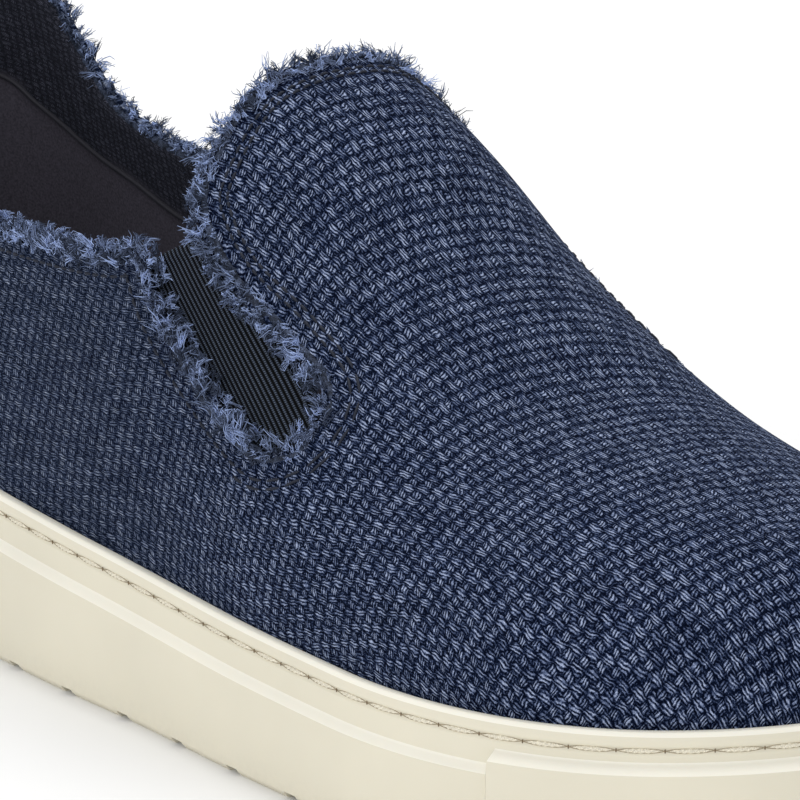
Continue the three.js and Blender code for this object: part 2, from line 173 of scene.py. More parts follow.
# Cross sections: share, crest's place, lip, crest's rise, roundness of walls and of crest, belly
SECTIONS = (
    (0.0, 0.12, 1.11, 1.16, 4.0, 1.6, 0.05),
    (0.06, 0.15, 1.09, 1.15, 3.6, 1.6, 0.05),
    (0.12, 0.18, 1.07, 1.08, 3.4, 1.45, 0.04),
    (0.2, 0.235, 1.05, 0.92, 3.2, 1.35, 0.03),
    (0.3, 0.315, 1.03, 0.82, 3.0, 1.3, 0.02),
    (0.4, 0.405, 1.01, 0.86, 2.8, 1.4, 0.02),
    (0.48, 0.48, 0.97, 0.98, 2.65, 1.48, 0.01),
    (0.54, 0.54, 0.93, 1.0, 2.6, 1.5, 0.01),
    (0.6, 0.6, 0.885, 0.9, 2.55, 1.55, 0.01),
    (0.66, 0.66, 0.85, 0.72, 2.45, 1.6, 0.02),
    (0.72, 0.72, 0.825, 0.565, 2.35, 1.7, 0.02),
    (0.8, 0.785, 0.8, 0.455, 2.2, 1.8, 0.03),
    (0.88, 0.85, 0.79, 0.405, 2.15, 1.85, 0.03),
    (0.94, 0.895, 0.805, 0.365, 2.05, 1.85, 0.03),
    (1.0, 0.935, 0.85, 0.315, 1.9, 1.85, 0.03),
)
CREST, LIP, RISE, WALLS, TOP, BELLY = 1, 2, 3, 4, 5, 6

# Edge of the opening seen from the side: share, shares of the heel and of the instep height above the
# lip, and how much lower the inner side runs
EDGE = (
    (0.0, 1.0, 0.0, 0.0),
    (0.06, 1.0, 0.0, 0.0),
    (0.115, 0.965, 0.0, 0.015),
    (0.15, 0.82, 0.0, 0.03),
    (0.183, 0.685, 0.0, 0.03),
    (0.235, 0.63, 0.0, 0.03),
    (0.34, 0.63, 0.0, 0.025),
    (0.44, 0.0, 0.572, 0.02),
    (0.505, 0.0, 0.612, 0.01),
    (0.53, 0.0, 0.634, 0.01),
    (0.538, 0.0, 0.62, 0.01),
    (0.562, 0.0, 0.545, 0.02),
    (0.614, 0.0, 0.432, 0.04),
    (0.653, 0.0, 0.371, 0.055),
    (0.674, 0.0, 0.36, 0.06),
    (0.69, 0.0, 0.395, 0.06),
    (0.688, 0.0, 0.452, 0.06),
    (0.652, 0.0, 0.53, 0.05),
    (0.6, 0.0, 0.61, 0.03),
    (0.573, 0.0, 0.672, 0.02),
    (0.554, 0.0, 0.742, 0.01),
    (0.546, 0.0, 0.848, 0.0),
    (0.539, 0.0, 0.954, 0.0),
)

# Corners of the elastic panel seen from the side: share, share of the instep height, how much lower inside
GORE_TOP_BACK = (0.518, 0.572, 0.01)
GORE_TOP_FRONT = (0.577, 0.722, 0.01)
GORE_FOOT_BACK = (0.638, 0.272, 0.06)
GORE_FOOT_FRONT = (0.722, 0.375, 0.06)

# Seam under the collar band seen from the side: distance from the heel and height, in millimetres
COLLAR_SEAM = (
    (0.0, 70.0),
    (20.5, 65.8),
    (29.0, 61.5),
    (42.0, 56.9),
    (56.0, 53.6),
    (73.0, 50.1),
    (110.0, 47.5),
    (160.0, 47.0),
)

# Tufts of the raw edge: places across it and above the cloth, pitch along it, share that is kept
TUFT_ROWS = ((-3.8, 0.0), (-3.1, 0.3), (-2.3, 0.4), (-1.5, 0.2), (-1.1, -0.6), (-1.2, -1.5))
TUFT_PITCH = 1.6
TUFT_SHARE = 0.94
SLOT_TUFT_SHIFT = 0.9
FIBRE_SEED = 7
FIBRE_PIECES = 4
FIBRE_STEPS = (0.0, 0.25, 0.5, 0.75, 1.0)
FIBRE_TAPER = (1.0, 1.0, 1.0, 0.85, 0.45)
LUMP_HEIGHT = 0.4

# Stitches inside the raw edge: inset, and first and last share of the edge's round
EDGE_STITCH_PITCH = 2.3
EDGE_STITCH_LENGTH = 1.7
EDGE_STITCH_ROWS = ((5.6, 0.0, 1.0), (7.0, 0.34, 0.66))

# Where the fray lies flatter, so that it doesn't rise over the tab's outline: places in millimetres
TAB_FRONT = 0.56 * LAST_LENGTH
TAB_BACK = 0.53 * LAST_LENGTH
INNER_FROM = 5.0
OUTER_FROM = -22.0

# Stage, in metres: camera, floor and the suns with their place, spread in degrees and strength
CAMERA_PLACE = (0.9490, -0.6643, 0.3599)
CAMERA_TARGET = Vector((0.01395, 0.01104, 0.040))
CAMERA_LENS = 335.2
FLOOR_REACH = 6.0
STUDIO_LIGHT = 0.62
LIGHT_TARGET = Vector((0, 0, 0.05))
LIGHTS = (
    ("key", (-0.5, 0.5, 1.5), 35, 1.5),
    ("fill", (0.6, -1.2, 0.75), 60, 1.0),
)

# Soft dents and swells of the canvas: share, girth, reach along, reach round, height in millimetres
DENTS = (
    (0.60, -0.30, 0.035, 0.20, -0.7),
    (0.66, 0.05, 0.03, 0.30, -0.8),
    (0.72, -0.12, 0.025, 0.35, 0.5),
    (0.77, 0.10, 0.03, 0.30, -0.6),
    (0.45, -0.72, 0.06, 0.12, -0.9),
    (0.28, -0.70, 0.05, 0.10, -0.8),
    (0.38, 0.72, 0.06, 0.12, -0.9),
    (0.62, -0.70, 0.04, 0.10, -0.5),
    (0.12, 0.55, 0.05, 0.15, -0.7),
)


def length_size(name, description, default):
    return bpy.props.FloatProperty(name=name, description=description, default=default, unit="LENGTH")


def colour_size(name, description, default):
    return bpy.props.FloatVectorProperty(
        name=name, description=description, default=default, size=3, subtype="COLOR"
    )


class ShoeSizes(bpy.types.PropertyGroup):
    """Sizes and colours that a user would change."""

    cell_length: length_size("Weave cell length", "Length of one basket-weave cell along the shoe", 0.0026)
    cell_width: length_size("Weave cell width", "Width of one basket-weave cell round the shoe", 0.00142)
    fibre_length: length_size("Fibre length", "Length of the loose fibres on the raw edges", 0.0021)
    stitch_length: length_size("Sole stitch length", "Pitch of the stitches round the cup sole", 0.0073)
    canvas_colour: colour_size("Canvas colour", "Colour of the yarn's lit strands", (0.055, 0.073, 0.135))
    fray_colour: colour_size("Fray colour", "Colour of the worn yarn ends", (0.105, 0.135, 0.22))
    rubber_colour: colour_size("Rubber colour", "Colour of the cup sole", (0.79, 0.755, 0.65))
    elastic_colour: colour_size("Elastic colour", "Colour of the ribbed elastic", (0.011, 0.014, 0.02))
    lining_colour: colour_size("Lining colour", "Colour of the smooth lining", (0.072, 0.067, 0.086))


def sizes():
    return bpy.context.scene.shoe_sizes


# Forms of the last


def along(rows, column, share):
    """Value of one column at shares of the length, on a smooth curve through the rows."""
    table = np.array(rows)
    shares, values = table[:, 0], table[:, column]
    last = len(rows) - 1
    order = np.arange(last + 1)
    before, after = np.maximum(order - 1, 0), np.minimum(order + 1, last)
    tangent = (values[after] - values[before]) / (shares[after] - shares[before])
    share = np.asarray(share, dtype=float)
    k = np.clip(np.searchsorted(shares, share, side="left") - 1, 0, last - 1)
    step = shares[k + 1] - shares[k]
    t = np.clip((share - shares[k]) / step, 0, 1)
    t2, t3 = t * t, t * t * t
    return (
        (2 * t3 - 3 * t2 + 1) * values[k]
        + (t3 - 2 * t2 + t) * step * tangent[k]
        + (3 * t2 - 2 * t3) * values[k + 1]
        + (t3 - t2) * step * tangent[k + 1]
    )


def smooth_step(value, low, high):
    t = np.clip((np.asarray(value, dtype=float) - low) / (high - low), 0, 1)
    return t * t * (3 - 2 * t)


def end_round(distance, span_and_power):
    """Round closing factor, 1 inside the outline and 0 at its end."""
    span, power = span_and_power
    t = np.clip(1 - distance / span, 0, 1)
    return (1 - t * t) ** power


def half_width(share, side):
    outer = along(OUTLINE, OUTER, share) * end_round(1 - share, TOE_ROUND_OUTER)
    inner = along(OUTLINE, INNER, share) * end_round(1 - share, TOE_ROUND_INNER)
    return BALL_WIDTH * np.where(side < 0, outer, inner) * end_round(share, HEEL_ROUND)


def lip_at(share):
    return LIP_HEIGHT * along(SECTIONS, LIP, share)


def cup_lip_at(share):
    """Height of the cup's lip, which stands a little over the last's edge towards the toe."""
    return lip_at(share) + LIP_LIFT * smooth_step(share, *LIP_LIFT_REACH)


def ground_at(share):
    t = np.maximum((share - SPRING_START) / (1 - SPRING_START), 0)
    return TOE_SPRING * t * t


def floor_at(share):
    t = smooth_step(share, SHANK_FROM, SHANK_TO)
    return ground_at(share) + HEEL_FLOOR + (BALL_FLOOR - HEEL_FLOOR) * t


def last_point(share, turn, side):
    """Points of the last's surface: a share of the length, a turn from the lip to the crest, a side."""
    rise = INSTEP_HEIGHT * along(SECTIONS, RISE, share)
    climb = np.maximum(np.sin(turn), 0) ** (2 / along(SECTIONS, TOP, share))
    belly = along(SECTIONS, BELLY, share) * np.sin(math.pi * climb)
    spread = np.maximum(np.cos(turn), 0) ** (2 / along(SECTIONS, WALLS, share)) + belly
    crest = along(SECTIONS, CREST, share)
    x = LAST_LENGTH * (crest + (share - crest) * spread)
    return np.stack([x, side * half_width(share, side) * spread, lip_at(share) + rise * climb], axis=-1)


def unit(vectors):
    return vectors / np.maximum(np.linalg.norm(vectors, axis=-1, keepdims=True), 1e-9)


def surface_normal(share, turn, side):
    """Outward normals of the last at places on it."""
    small = 2e-3
    at_heel = share < small
    crest = turn > math.pi / 2 - small
    at_end = at_heel | (share > 1 - small)
    behind = last_point(np.where(at_heel, small, share - small), turn, np.where(at_heel, -side, side))
    ahead = last_point(np.maximum(share, 0) + small, turn, side)
    below = last_point(share, turn - small, side)
    above = last_point(share, np.where(crest, turn - small, turn + small), np.where(crest, -side, side))
    normal = unit(np.cross(ahead - behind, above - below))
    point = last_point(share, turn, side)
    core_x = np.where(at_end, LAST_LENGTH * along(SECTIONS, CREST, share), point[..., 0])
    core = np.stack([core_x, np.zeros_like(core_x), lip_at(share)], axis=-1)
    facing = np.sum(normal * (point - core), axis=-1, keepdims=True)
    return np.where(facing < 0, -normal, normal)


def view_points(rows, side):
    """Side-view places of rows from their heights above the lip."""
    table = np.array(rows)
    lower = table[:, 3] if side > 0 else 0
    height = lip_at(table[:, 0]) + table[:, 1] * HEEL_HEIGHT + (table[:, 2] - lower) * INSTEP_HEIGHT
    return np.stack([table[:, 0] * LAST_LENGTH, height], axis=-1)


def smooth_curve(points, spacing):
    """Evenly spaced points on the centripetal curve through some points."""
    fine = 40
    ends = np.vstack([2 * points[0] - points[1], points, 2 * points[-1] - points[-2]])
    pieces = []
    for i in range(len(points) - 1):
        p0, p1, p2, p3 = ends[i : i + 4]
        d0, d1, d2 = (math.sqrt(np.linalg.norm(b - a)) for a, b in ((p0, p1), (p1, p2), (p2, p3)))
        m1 = d1 * ((p1 - p0) / d0 - (p2 - p0) / (d0 + d1) + (p2 - p1) / d1)
        m2 = d1 * ((p2 - p1) / d1 - (p3 - p1) / (d1 + d2) + (p3 - p2) / d2)
        t = np.linspace(0, 1, fine, endpoint=False)[:, None]
        pieces.append(
            p1 + m1 * t + (3 * p2 - 3 * p1 - 2 * m1 - m2) * t**2 + (2 * p1 - 2 * p2 + m1 + m2) * t**3
        )
    return even_points(np.vstack(pieces + [points[-1:]]), spacing)


def even_points(points, spacing):
    reach = np.concatenate([[0], np.cumsum(np.linalg.norm(np.diff(points, axis=0), axis=1))])
    count = max(int(round(reach[-1] / spacing)), 1)
    wanted = np.linspace(0, reach[-1], count + 1)
    return np.stack([np.interp(wanted, reach, points[:, c]) for c in range(points.shape[1])], axis=-1)


def place_on_last(x, z, side):
    """Shares and turns of the last's surface that show at points of the side view."""
    share = np.clip(x / LAST_LENGTH, 0, 1)
    turn = np.zeros_like(share)
    for _ in range(14):
        rise = INSTEP_HEIGHT * along(SECTIONS, RISE, share)
        climb = np.clip((z - lip_at(share)) / rise, 0, 1)
        turn = np.arcsin(climb ** (along(SECTIONS, TOP, share) / 2))
        found = last_point(share, turn, side)
        share = np.clip(share + (x - found[..., 0]) / LAST_LENGTH, 0, 1)
    return share, turn


def side_edge(side):
    """Share, turn and side of the raw edge from the heel up to the crest of the tab."""
    views = smooth_curve(view_points(EDGE, side), EDGE_SPACING)
    sides = np.full(len(views), float(side))
    share, turn = place_on_last(views[:, 0], views[:, 1], sides)
    on_last = np.abs(last_point(share, turn, sides)[:, 0] - views[:, 0]) < SEAT_GAP
    share, turn = share[on_last], turn[on_last]
    over = np.linspace(turn[-1], math.pi / 2, 12)[1:]
    share = np.concatenate([share, np.full(len(over), EDGE[-1][0])])
    turn = np.concatenate([turn, over])
    return share, turn, np.full(len(share), float(side))


@functools.lru_cache(maxsize=None)
def raw_edge():
    """Closed loop of the raw edge: points, outward normals, travel, and the way to the opening."""
    outer, inner = side_edge(-1), side_edge(1)
    heel_z = view_points(EDGE, -1)[0, 1]
    heel_share, heel_turn = place_on_last(np.zeros(1), np.array([heel_z]), -np.ones(1))
    share = np.concatenate([heel_share, outer[0], inner[0][:-1][::-1]])
    turn = np.concatenate([heel_turn, outer[1], inner[1][:-1][::-1]])
    side = np.concatenate([-np.ones(1), outer[2], inner[2][:-1][::-1]])
    points = last_point(share, turn, side)
    normals = surface_normal(share, turn, side)
    both = np.hstack([points, normals])
    both = np.vstack([both, both[:1]])
    reach = np.concatenate([[0], np.cumsum(np.linalg.norm(np.diff(both[:, :3], axis=0), axis=1))])
    count = int(reach[-1] / EDGE_SPACING)
    wanted = np.linspace(0, reach[-1], count, endpoint=False)
    both = np.stack([np.interp(wanted, reach, both[:, c]) for c in range(6)], axis=-1)
    points, normals = both[:, :3], unit(both[:, 3:])
    travel = unit(np.roll(points, -2, axis=0) - np.roll(points, 2, axis=0))
    opening = unit(np.cross(normals, travel))
    return points, normals, travel, opening, reach[-1]


def edge_frame(distance):
    """Point, normal, travel and way to the opening at a distance along the raw edge."""
    points, normals, travel, opening, total = raw_edge()
    place = (distance % total) / total * len(points)
    k = int(place) % len(points)
    after = (k + 1) % len(points)
    t = place - int(place)
    return tuple(Vector(a[k] * (1 - t) + a[after] * t) for a in (points, normals, travel, opening))


def inside_polygon(polygon, x, z):
    """Whether points lie inside a closed polygon."""
    inside = np.zeros(len(x), dtype=bool)
    for a, b in zip(polygon, np.roll(polygon, -1, axis=0)):
        crosses = (a[1] > z) != (b[1] > z)
        if not crosses.any():
            continue
        at = a[0] + (z - a[1]) * (b[0] - a[0]) / (b[1] - a[1] + 1e-12)
        inside ^= crosses & (x < at)
    return inside


def in_opening(points):
    """Whether points of the upper fall in its opening or gore slots, seen from the side."""
    high = LIP_HEIGHT + HEEL_HEIGHT + INSTEP_HEIGHT
    result = np.zeros(len(points), dtype=bool)
    for side in (-1, 1):
        edge = smooth_curve(view_points(EDGE, side), 1.0)
        polygon = np.vstack([[-60, edge[0, 1]], edge, [edge[-1, 0], high], [-60, high]])
        mine = points[:, 1] * side >= 0
        result |= mine & inside_polygon(polygon, points[:, 0], points[:, 2])
    return result


def collar_seam_height(x):
    return along(COLLAR_SEAM, 1, x)


# Making of meshes


def in_frame(point):
    """Place in metres in the CAD frame of a point in millimetres from the heel."""
    return (Vector(point) - FRAME_MIDDLE) * METRES


def from_frame(place):
    """Point in millimetres from the heel of a place in metres in the CAD frame."""
    return Vector(place) / METRES + FRAME_MIDDLE


def sheet(points, marks=None, cloth=None):
    """Grid sheet whose vertices take the places in a table of points, with marks and a cloth map kept."""
    rows, columns = points.shape[:2]
    bm = bmesh.new()
    bmesh.ops.create_grid(bm, x_segments=columns - 1, y_segments=rows - 1, size=0.5)
    layers = {name: bm.verts.layers.float.new(name) for name in (marks or {})}
    seats = {}
    for vert in bm.verts:
        column = round((vert.co.x + 0.5) * (columns - 1))
        row = round((vert.co.y + 0.5) * (rows - 1))
        seats[vert] = (row, column)
        vert.co = points[row, column]
        for name, layer in layers.items():
            vert[layer] = marks[name][row, column]
    if cloth is not None:
        uv = bm.loops.layers.uv.new("cloth")
        for face in bm.faces:
            for loop in face.loops:
                loop[uv].uv = cloth[seats[loop.vert]]
    return bm


def loft(rings, closed_ends, second_finish=()):
    """Surface through closed rings of points, one row after another; some rows may take a second finish."""
    count = len(rings[0])
    bm = bmesh.new()
    bmesh.ops.create_circle(bm, segments=count, radius=1)
    bm.verts.ensure_lookup_table()
    row = sorted(bm.verts, key=lambda v: math.atan2(v.co.y, v.co.x) % (2 * math.pi))
    for vert, place in zip(row, rings[0]):
        vert.co = place
    edges = list(bm.edges)
    for index, ring_points in enumerate(rings[1:]):
        made = bmesh.ops.extrude_edge_only(bm, edges=edges)["geom"]
        for g in made:
            if isinstance(g, bmesh.types.BMFace):
                g.material_index = int(index in second_finish)
        fresh = {g for g in made if isinstance(g, bmesh.types.BMVert)}
        edges = [g for g in made if isinstance(g, bmesh.types.BMEdge) and fresh.issuperset(g.verts)]
        upper_row = []
        for vert in row:
            upper_row.append(next(e.other_vert(vert) for e in vert.link_edges if e.other_vert(vert) in fresh))
        row = upper_row
        for vert, place in zip(row, ring_points):
            vert.co = place
    if closed_ends:
        bmesh.ops.remove_doubles(bm, verts=bm.verts, dist=SAME_PLACE)
    bmesh.ops.recalc_face_normals(bm, faces=bm.faces)
    return bm


def finish_piece(bm, name, materials, smooth=True):
    """Turns a bmesh in millimetres into a piece in metres in the frame."""
    for vert in bm.verts:
        vert.co = in_frame(vert.co)
    mesh = bpy.data.meshes.new(name)
    bm.to_mesh(mesh)
    bm.free()
    for material in materials:
        mesh.materials.append(material)
    if smooth:
        mesh.shade_smooth()
    piece = bpy.data.objects.new(name, mesh)
    bpy.context.scene.collection.objects.link(piece)
    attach(piece, "root")
    return piece


def threads(name, strands, materials, sides=0, caps=True):
    """Piece made of many fine threads; a strand is its points, its radii and its material's place."""
    curve = bpy.data.curves.new(name, "CURVE")
    curve.dimensions = "3D"
    curve.bevel_depth = METRES
    curve.bevel_resolution = sides
    curve.use_fill_caps = caps
    for material in materials:
        curve.materials.append(material)
    for points, radii, tone in strands:
        spline = curve.splines.new("POLY")
        spline.points.add(len(points) - 1)
        places = [value for point in points for value in (*in_frame(point), 1.0)]
        spline.points.foreach_set("co", places)
        spline.points.foreach_set("radius", radii)
        spline.material_index = tone
    source = bpy.data.objects.new(name + "_curve", curve)
    bpy.context.scene.collection.objects.link(source)
    mesh = bpy.data.meshes.new_from_object(source)
    bpy.data.objects.remove(source)
    bpy.data.curves.remove(curve)
    mesh.name = name
    mesh.shade_smooth()
    piece = bpy.data.objects.new(name, mesh)
    bpy.context.scene.collection.objects.link(piece)
    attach(piece, "root")
    return piece


# Materials


class Finish:
    """Small helper that builds one procedural material."""

    def __init__(self, name, roughness=0.9, specular=0.3):
        self.material = bpy.data.materials.new(name)
        self.material.use_nodes = True
        self.tree = self.material.node_tree
        self.shader = self.tree.nodes["Principled BSDF"]
        self.shader.inputs["Roughness"].default_value = roughness
        self.shader.inputs["Specular IOR Level"].default_value = specular

    def node(self, kind, **settings):
        made = self.tree.nodes.new(kind)
        for key, value in settings.items():
            setattr(made, key, value)
        return made

    def join(self, source, target):
        if hasattr(source, "is_output"):
            self.tree.links.new(source, target)
        else:
            target.default_value = source

    def math(self, operation, a, b=0.0, c=0.0):
        made = self.node("ShaderNodeMath", operation=operation)
        for socket, value in zip(made.inputs, (a, b, c)):
            self.join(value, socket)
        return made.outputs[0]

    def vector(self, operation, a, b=(0.0, 0.0, 0.0)):
        made = self.node("ShaderNodeVectorMath", operation=operation)
        self.join(a, made.inputs[0])
        self.join(b, made.inputs[1])
        return made.outputs[0]

    def split(self, vector):
        made = self.node("ShaderNodeSeparateXYZ")
        self.join(vector, made.inputs[0])
        return made.outputs[0], made.outputs[1], made.outputs[2]

    def combine(self, x, y, z=0.0):
        made = self.node("ShaderNodeCombineXYZ")
        for socket, value in zip(made.inputs, (x, y, z)):
            self.join(value, socket)
        return made.outputs[0]

    def object_mm(self):
        made = self.node("ShaderNodeTexCoord")
        return self.vector("MULTIPLY", made.outputs["Object"], (1000.0, 1000.0, 1000.0))

    def uv(self, layer):
        made = self.node("ShaderNodeUVMap")
        made.uv_map = layer
        return made.outputs[0]

    def attribute(self, name):
        made = self.node("ShaderNodeAttribute", attribute_name=name)
        return made.outputs["Fac"]

    def noise(self, vector, scale, detail=2.0, roughness=0.5, output="Fac"):
        made = self.node("ShaderNodeTexNoise")
        self.join(vector, made.inputs["Vector"])
        made.inputs["Scale"].default_value = scale
        made.inputs["Detail"].default_value = detail
        made.inputs["Roughness"].default_value = roughness
        return made.outputs[output]

    def ramp(self, value, stops):
        made = self.node("ShaderNodeValToRGB")
        self.join(value, made.inputs[0])
        elements = made.color_ramp.elements
        while len(elements) < len(stops):
            elements.new(0.5)
        for element, (place, colour) in zip(elements, stops):
            element.position = place
            element.color = (*colour, 1.0)
        return made.outputs[0]

    def mix(self, factor, a, b, blend="MIX"):
        made = self.node("ShaderNodeMix", data_type="RGBA", blend_type=blend)
        self.join(factor, made.inputs["Factor"])
        for value, socket in ((a, made.inputs["A"]), (b, made.inputs["B"])):
            if hasattr(value, "is_output"):
                self.tree.links.new(value, socket)
            else:
                socket.default_value = (*value, 1.0)
        return made.outputs["Result"]

    def map_range(self, value, low, high, to_low=0.0, to_high=1.0):
        made = self.node("ShaderNodeMapRange")
        for socket, item in zip(made.inputs, (value, low, high, to_low, to_high)):
            self.join(item, socket)
        return made.outputs[0]

    def colour(self, source):
        self.join(source, self.shader.inputs["Base Color"])

    def roughness(self, source):
        self.join(source, self.shader.inputs["Roughness"])

    def bump(self, height, distance_mm, strength=1.0):
        made = self.node("ShaderNodeBump")
        made.inputs["Strength"].default_value = strength
        made.inputs["Distance"].default_value = distance_mm * METRES
        self.join(height, made.inputs["Height"])
        self.tree.links.new(made.outputs[0], self.shader.inputs["Normal"])


def scaled(colour, factor):
    return tinted(colour, (factor, factor, factor))


def tinted(colour, factors):
    return tuple(min(channel * factor, 1.0) for channel, factor in zip(colour, factors))


def bulge(finish, value, power):
    """Round hump over each unit step of a value."""
    wave = finish.math("SINE", finish.math("MULTIPLY", finish.math("FRACT", value), math.pi))
    return finish.math("POWER", finish.math("MAXIMUM", wave, 0.0), power)


def sine(finish, value):
    """Wave that crosses zero at each whole step of a value."""
    return finish.math("SINE", finish.math("MULTIPLY", value, math.pi))


def weave_height(finish, uv, cell_length, cell_width):
    """Height of a basket weave whose cells alternate strands along and across, about 0 to 1."""
    wobble = finish.noise(uv, 0.5, 2.0, output="Color")
    wobble = finish.vector("SUBTRACT", wobble, (0.5, 0.5, 0.5))
    wobble = finish.vector("MULTIPLY", wobble, (1.5, 1.0, 0.0))
    u, v, _ = finish.split(finish.vector("ADD", uv, wobble))
    column = finish.math("DIVIDE", u, cell_length)
    row = finish.math("DIVIDE", v, cell_width)
    form = finish.math("MULTIPLY", sine(finish, column), sine(finish, row))
    over = finish.math("POWER", finish.map_range(form, -0.3, 0.75), 0.6)
    cross = finish.math("POWER", finish.map_range(form, -0.1, -0.85), 0.6)
    slanted = finish.math("MULTIPLY_ADD", u, -0.3, v)
    plies = bulge(finish, finish.math("DIVIDE", slanted, cell_width / 2.7), 1.7)
    leaning = finish.math("MULTIPLY_ADD", v, 0.4, u)
    cross_plies = bulge(finish, finish.math("DIVIDE", leaning, cell_length / 4.2), 1.5)
    along_strand, across_strand = finish.math("MULTIPLY", u, 1.1), finish.math("MULTIPLY", slanted, 4.5)
    streaks = finish.noise(finish.combine(along_strand, across_strand), 1.0, 2.0)
    over = finish.math("MULTIPLY", over, finish.math("MULTIPLY_ADD", plies, 0.64, 0.24))
    cross = finish.math("MULTIPLY", cross, finish.math("MULTIPLY_ADD", cross_plies, 0.68, 0.2))
    height = finish.math("MAXIMUM", over, cross)
    cells = finish.combine(finish.math("FLOOR", column), finish.math("FLOOR", row))
    each = finish.node("ShaderNodeTexWhiteNoise", noise_dimensions="2D")
    finish.join(cells, each.inputs["Vector"])
    height = finish.math("MULTIPLY", height, finish.map_range(each.outputs["Value"], 0.0, 1.0, 0.75, 1.1))
    fuzz = finish.math("ADD", finish.noise(uv, 3.2, 2.0, 0.65), streaks)
    return finish.math("MULTIPLY_ADD", finish.math("SUBTRACT", fuzz, 1.0), 1.0, height)


def canvas_finish():
    finish = Finish("navy_canvas", roughness=0.9, specular=0.03)
    base = tuple(sizes().canvas_colour)
    uv = finish.vector("MULTIPLY", finish.uv("cloth"), (1000.0, 1000.0, 0.0))
    height = weave_height(finish, uv, sizes().cell_length / METRES, sizes().cell_width / METRES)
    # On the quarters the colour has less contrast and is a little darker and greyer: partly the duller cloth
    # there, partly painted shade on the quarters' side walls
    quarter = finish.attribute("quarter")
    crisp = finish.map_range(quarter, 0.0, 1.0, 1.22, 0.84)
    tone = finish.math("MULTIPLY_ADD", finish.math("SUBTRACT", height, 0.42), crisp, 0.42)
    # Painted shade in the weave's low gaps and painted highlight on the tops of the strands: the colour
    # follows the weave's height
    lit = finish.ramp(
        tone,
        (
            (0.08, tinted(base, (0.02, 0.04, 0.09))),
            (0.27, tinted(base, (0.13, 0.2, 0.32))),
            (0.45, tinted(base, (1.0, 1.06, 1.12))),
            (0.7, tinted(base, (3.0, 2.9, 2.6))),
            (0.98, tinted(base, (8.0, 7.1, 5.4))),
        ),
    )
    patches = finish.noise(uv, 0.1, 3.0)
    dull_and_shade = finish.map_range(quarter, 0.0, 1.0, 1.0, 0.92)
    tint = finish.math("MULTIPLY", finish.map_range(patches, 0.3, 0.7, 0.92, 1.08), dull_and_shade)
    shade = finish.vector("SCALE", lit)
    finish.join(tint, shade.node.inputs["Scale"])
    grey = finish.mix(finish.math("MULTIPLY", quarter, 0.35), (1.0, 1.0, 1.0), (1.1, 1.0, 0.78))
    finish.colour(finish.vector("MULTIPLY", shade, grey))
    finish.bump(height, 0.45, 1.0)
    return finish.material


def fibre_finish(name, factor):
    finish = Finish(name, roughness=0.85, specular=0.05)
    base = tuple(sizes().fray_colour)
    place = finish.object_mm()
    tone = finish.noise(place, 0.9, 3.0)
    colour = finish.ramp(
        tone,
        ((0.3, scaled(base, 0.55 * factor)), (0.5, scaled(base, factor)), (0.7, scaled(base, 1.35 * factor))),
    )
    finish.colour(colour)
    finish.bump(finish.noise(place, 8.0, 2.0), 0.05, 0.5)
    return finish.material


def fray_band_finish():
    finish = Finish("frayed_yarn_band", roughness=0.95, specular=0.2)
    base = tuple(sizes().fray_colour)
    place = finish.object_mm()
    clumps = finish.noise(place, 0.8, 2.0)
    fibres = finish.noise(place, 4.0, 3.0, 0.7)
    height = finish.math("ADD", finish.math("MULTIPLY", clumps, 0.6), finish.math("MULTIPLY", fibres, 0.6))
    # Painted shade: the band goes nearly black where the clump and fibre height is low, in the hollows
    # between clumps
    stops = ((0.4, 0.05), (0.55, 0.2), (0.7, 0.7), (0.85, 1.4))
    finish.colour(finish.ramp(height, [(place, scaled(base, factor)) for place, factor in stops]))
    finish.bump(height, 0.5, 1.0)
    return finish.material


def lining_finish():
    finish = Finish("smooth_lining", roughness=0.85, specular=0.1)
    base = tuple(sizes().lining_colour)
    place = finish.object_mm()
    fine = finish.noise(place, 2.4, 3.0)
    broad = finish.noise(place, 0.05, 2.0)
    plain = finish.ramp(fine, ((0.3, scaled(base, 0.7)), (0.7, scaled(base, 1.35))))
    uv = finish.vector("MULTIPLY", finish.uv("cloth"), (1000.0, 1000.0, 0.0))
    weave = weave_height(finish, uv, 2.1, 1.2)
    navy = tuple(sizes().canvas_colour)
    stops = ((0.1, (0.2, 0.17, 0.13)), (0.5, (0.62, 0.5, 0.4)), (0.9, (1.9, 1.5, 1.1)))
    band = finish.ramp(weave, [(place, tinted(navy, factors)) for place, factors in stops])
    in_band = finish.attribute("in_band")
    finish.colour(finish.mix(in_band, plain, band))
    quiet = finish.math("ADD", finish.math("MULTIPLY", fine, 0.12), finish.math("MULTIPLY", broad, 0.3))
    height = finish.math(
        "ADD",
        finish.math("MULTIPLY", quiet, finish.math("SUBTRACT", 1.0, in_band)),
        finish.math("MULTIPLY", weave, in_band),
    )
    finish.bump(height, 0.25, 0.8)
    return finish.material


def elastic_finish():
    finish = Finish("ribbed_elastic", roughness=0.55, specular=0.06)
    base = tuple(sizes().elastic_colour)
    uv = finish.vector("MULTIPLY", finish.uv("cloth"), (1000.0, 1000.0, 0.0))
    u, v, _ = finish.split(uv)
    turns = bulge(finish, finish.math("MULTIPLY_ADD", u, 2.6, finish.math("MULTIPLY", v, 0.8)), 0.7)
    fibres = finish.noise(uv, 3.5, 2.0)
    height = finish.math("MULTIPLY_ADD", turns, 0.6, finish.math("MULTIPLY", fibres, 0.4))
    rib = finish.attribute("rib")
    glint = finish.math("MULTIPLY_ADD", height, 0.7, 0.3)
    lit = finish.math("MULTIPLY", glint, finish.math("POWER", rib, 1.7))
    finish.colour(
        finish.ramp(lit, ((0.3, scaled(base, 0.03)), (0.62, scaled(base, 1.0)), (0.95, scaled(base, 11.0))))
    )
    finish.bump(height, 0.12, 0.8)
    return finish.material


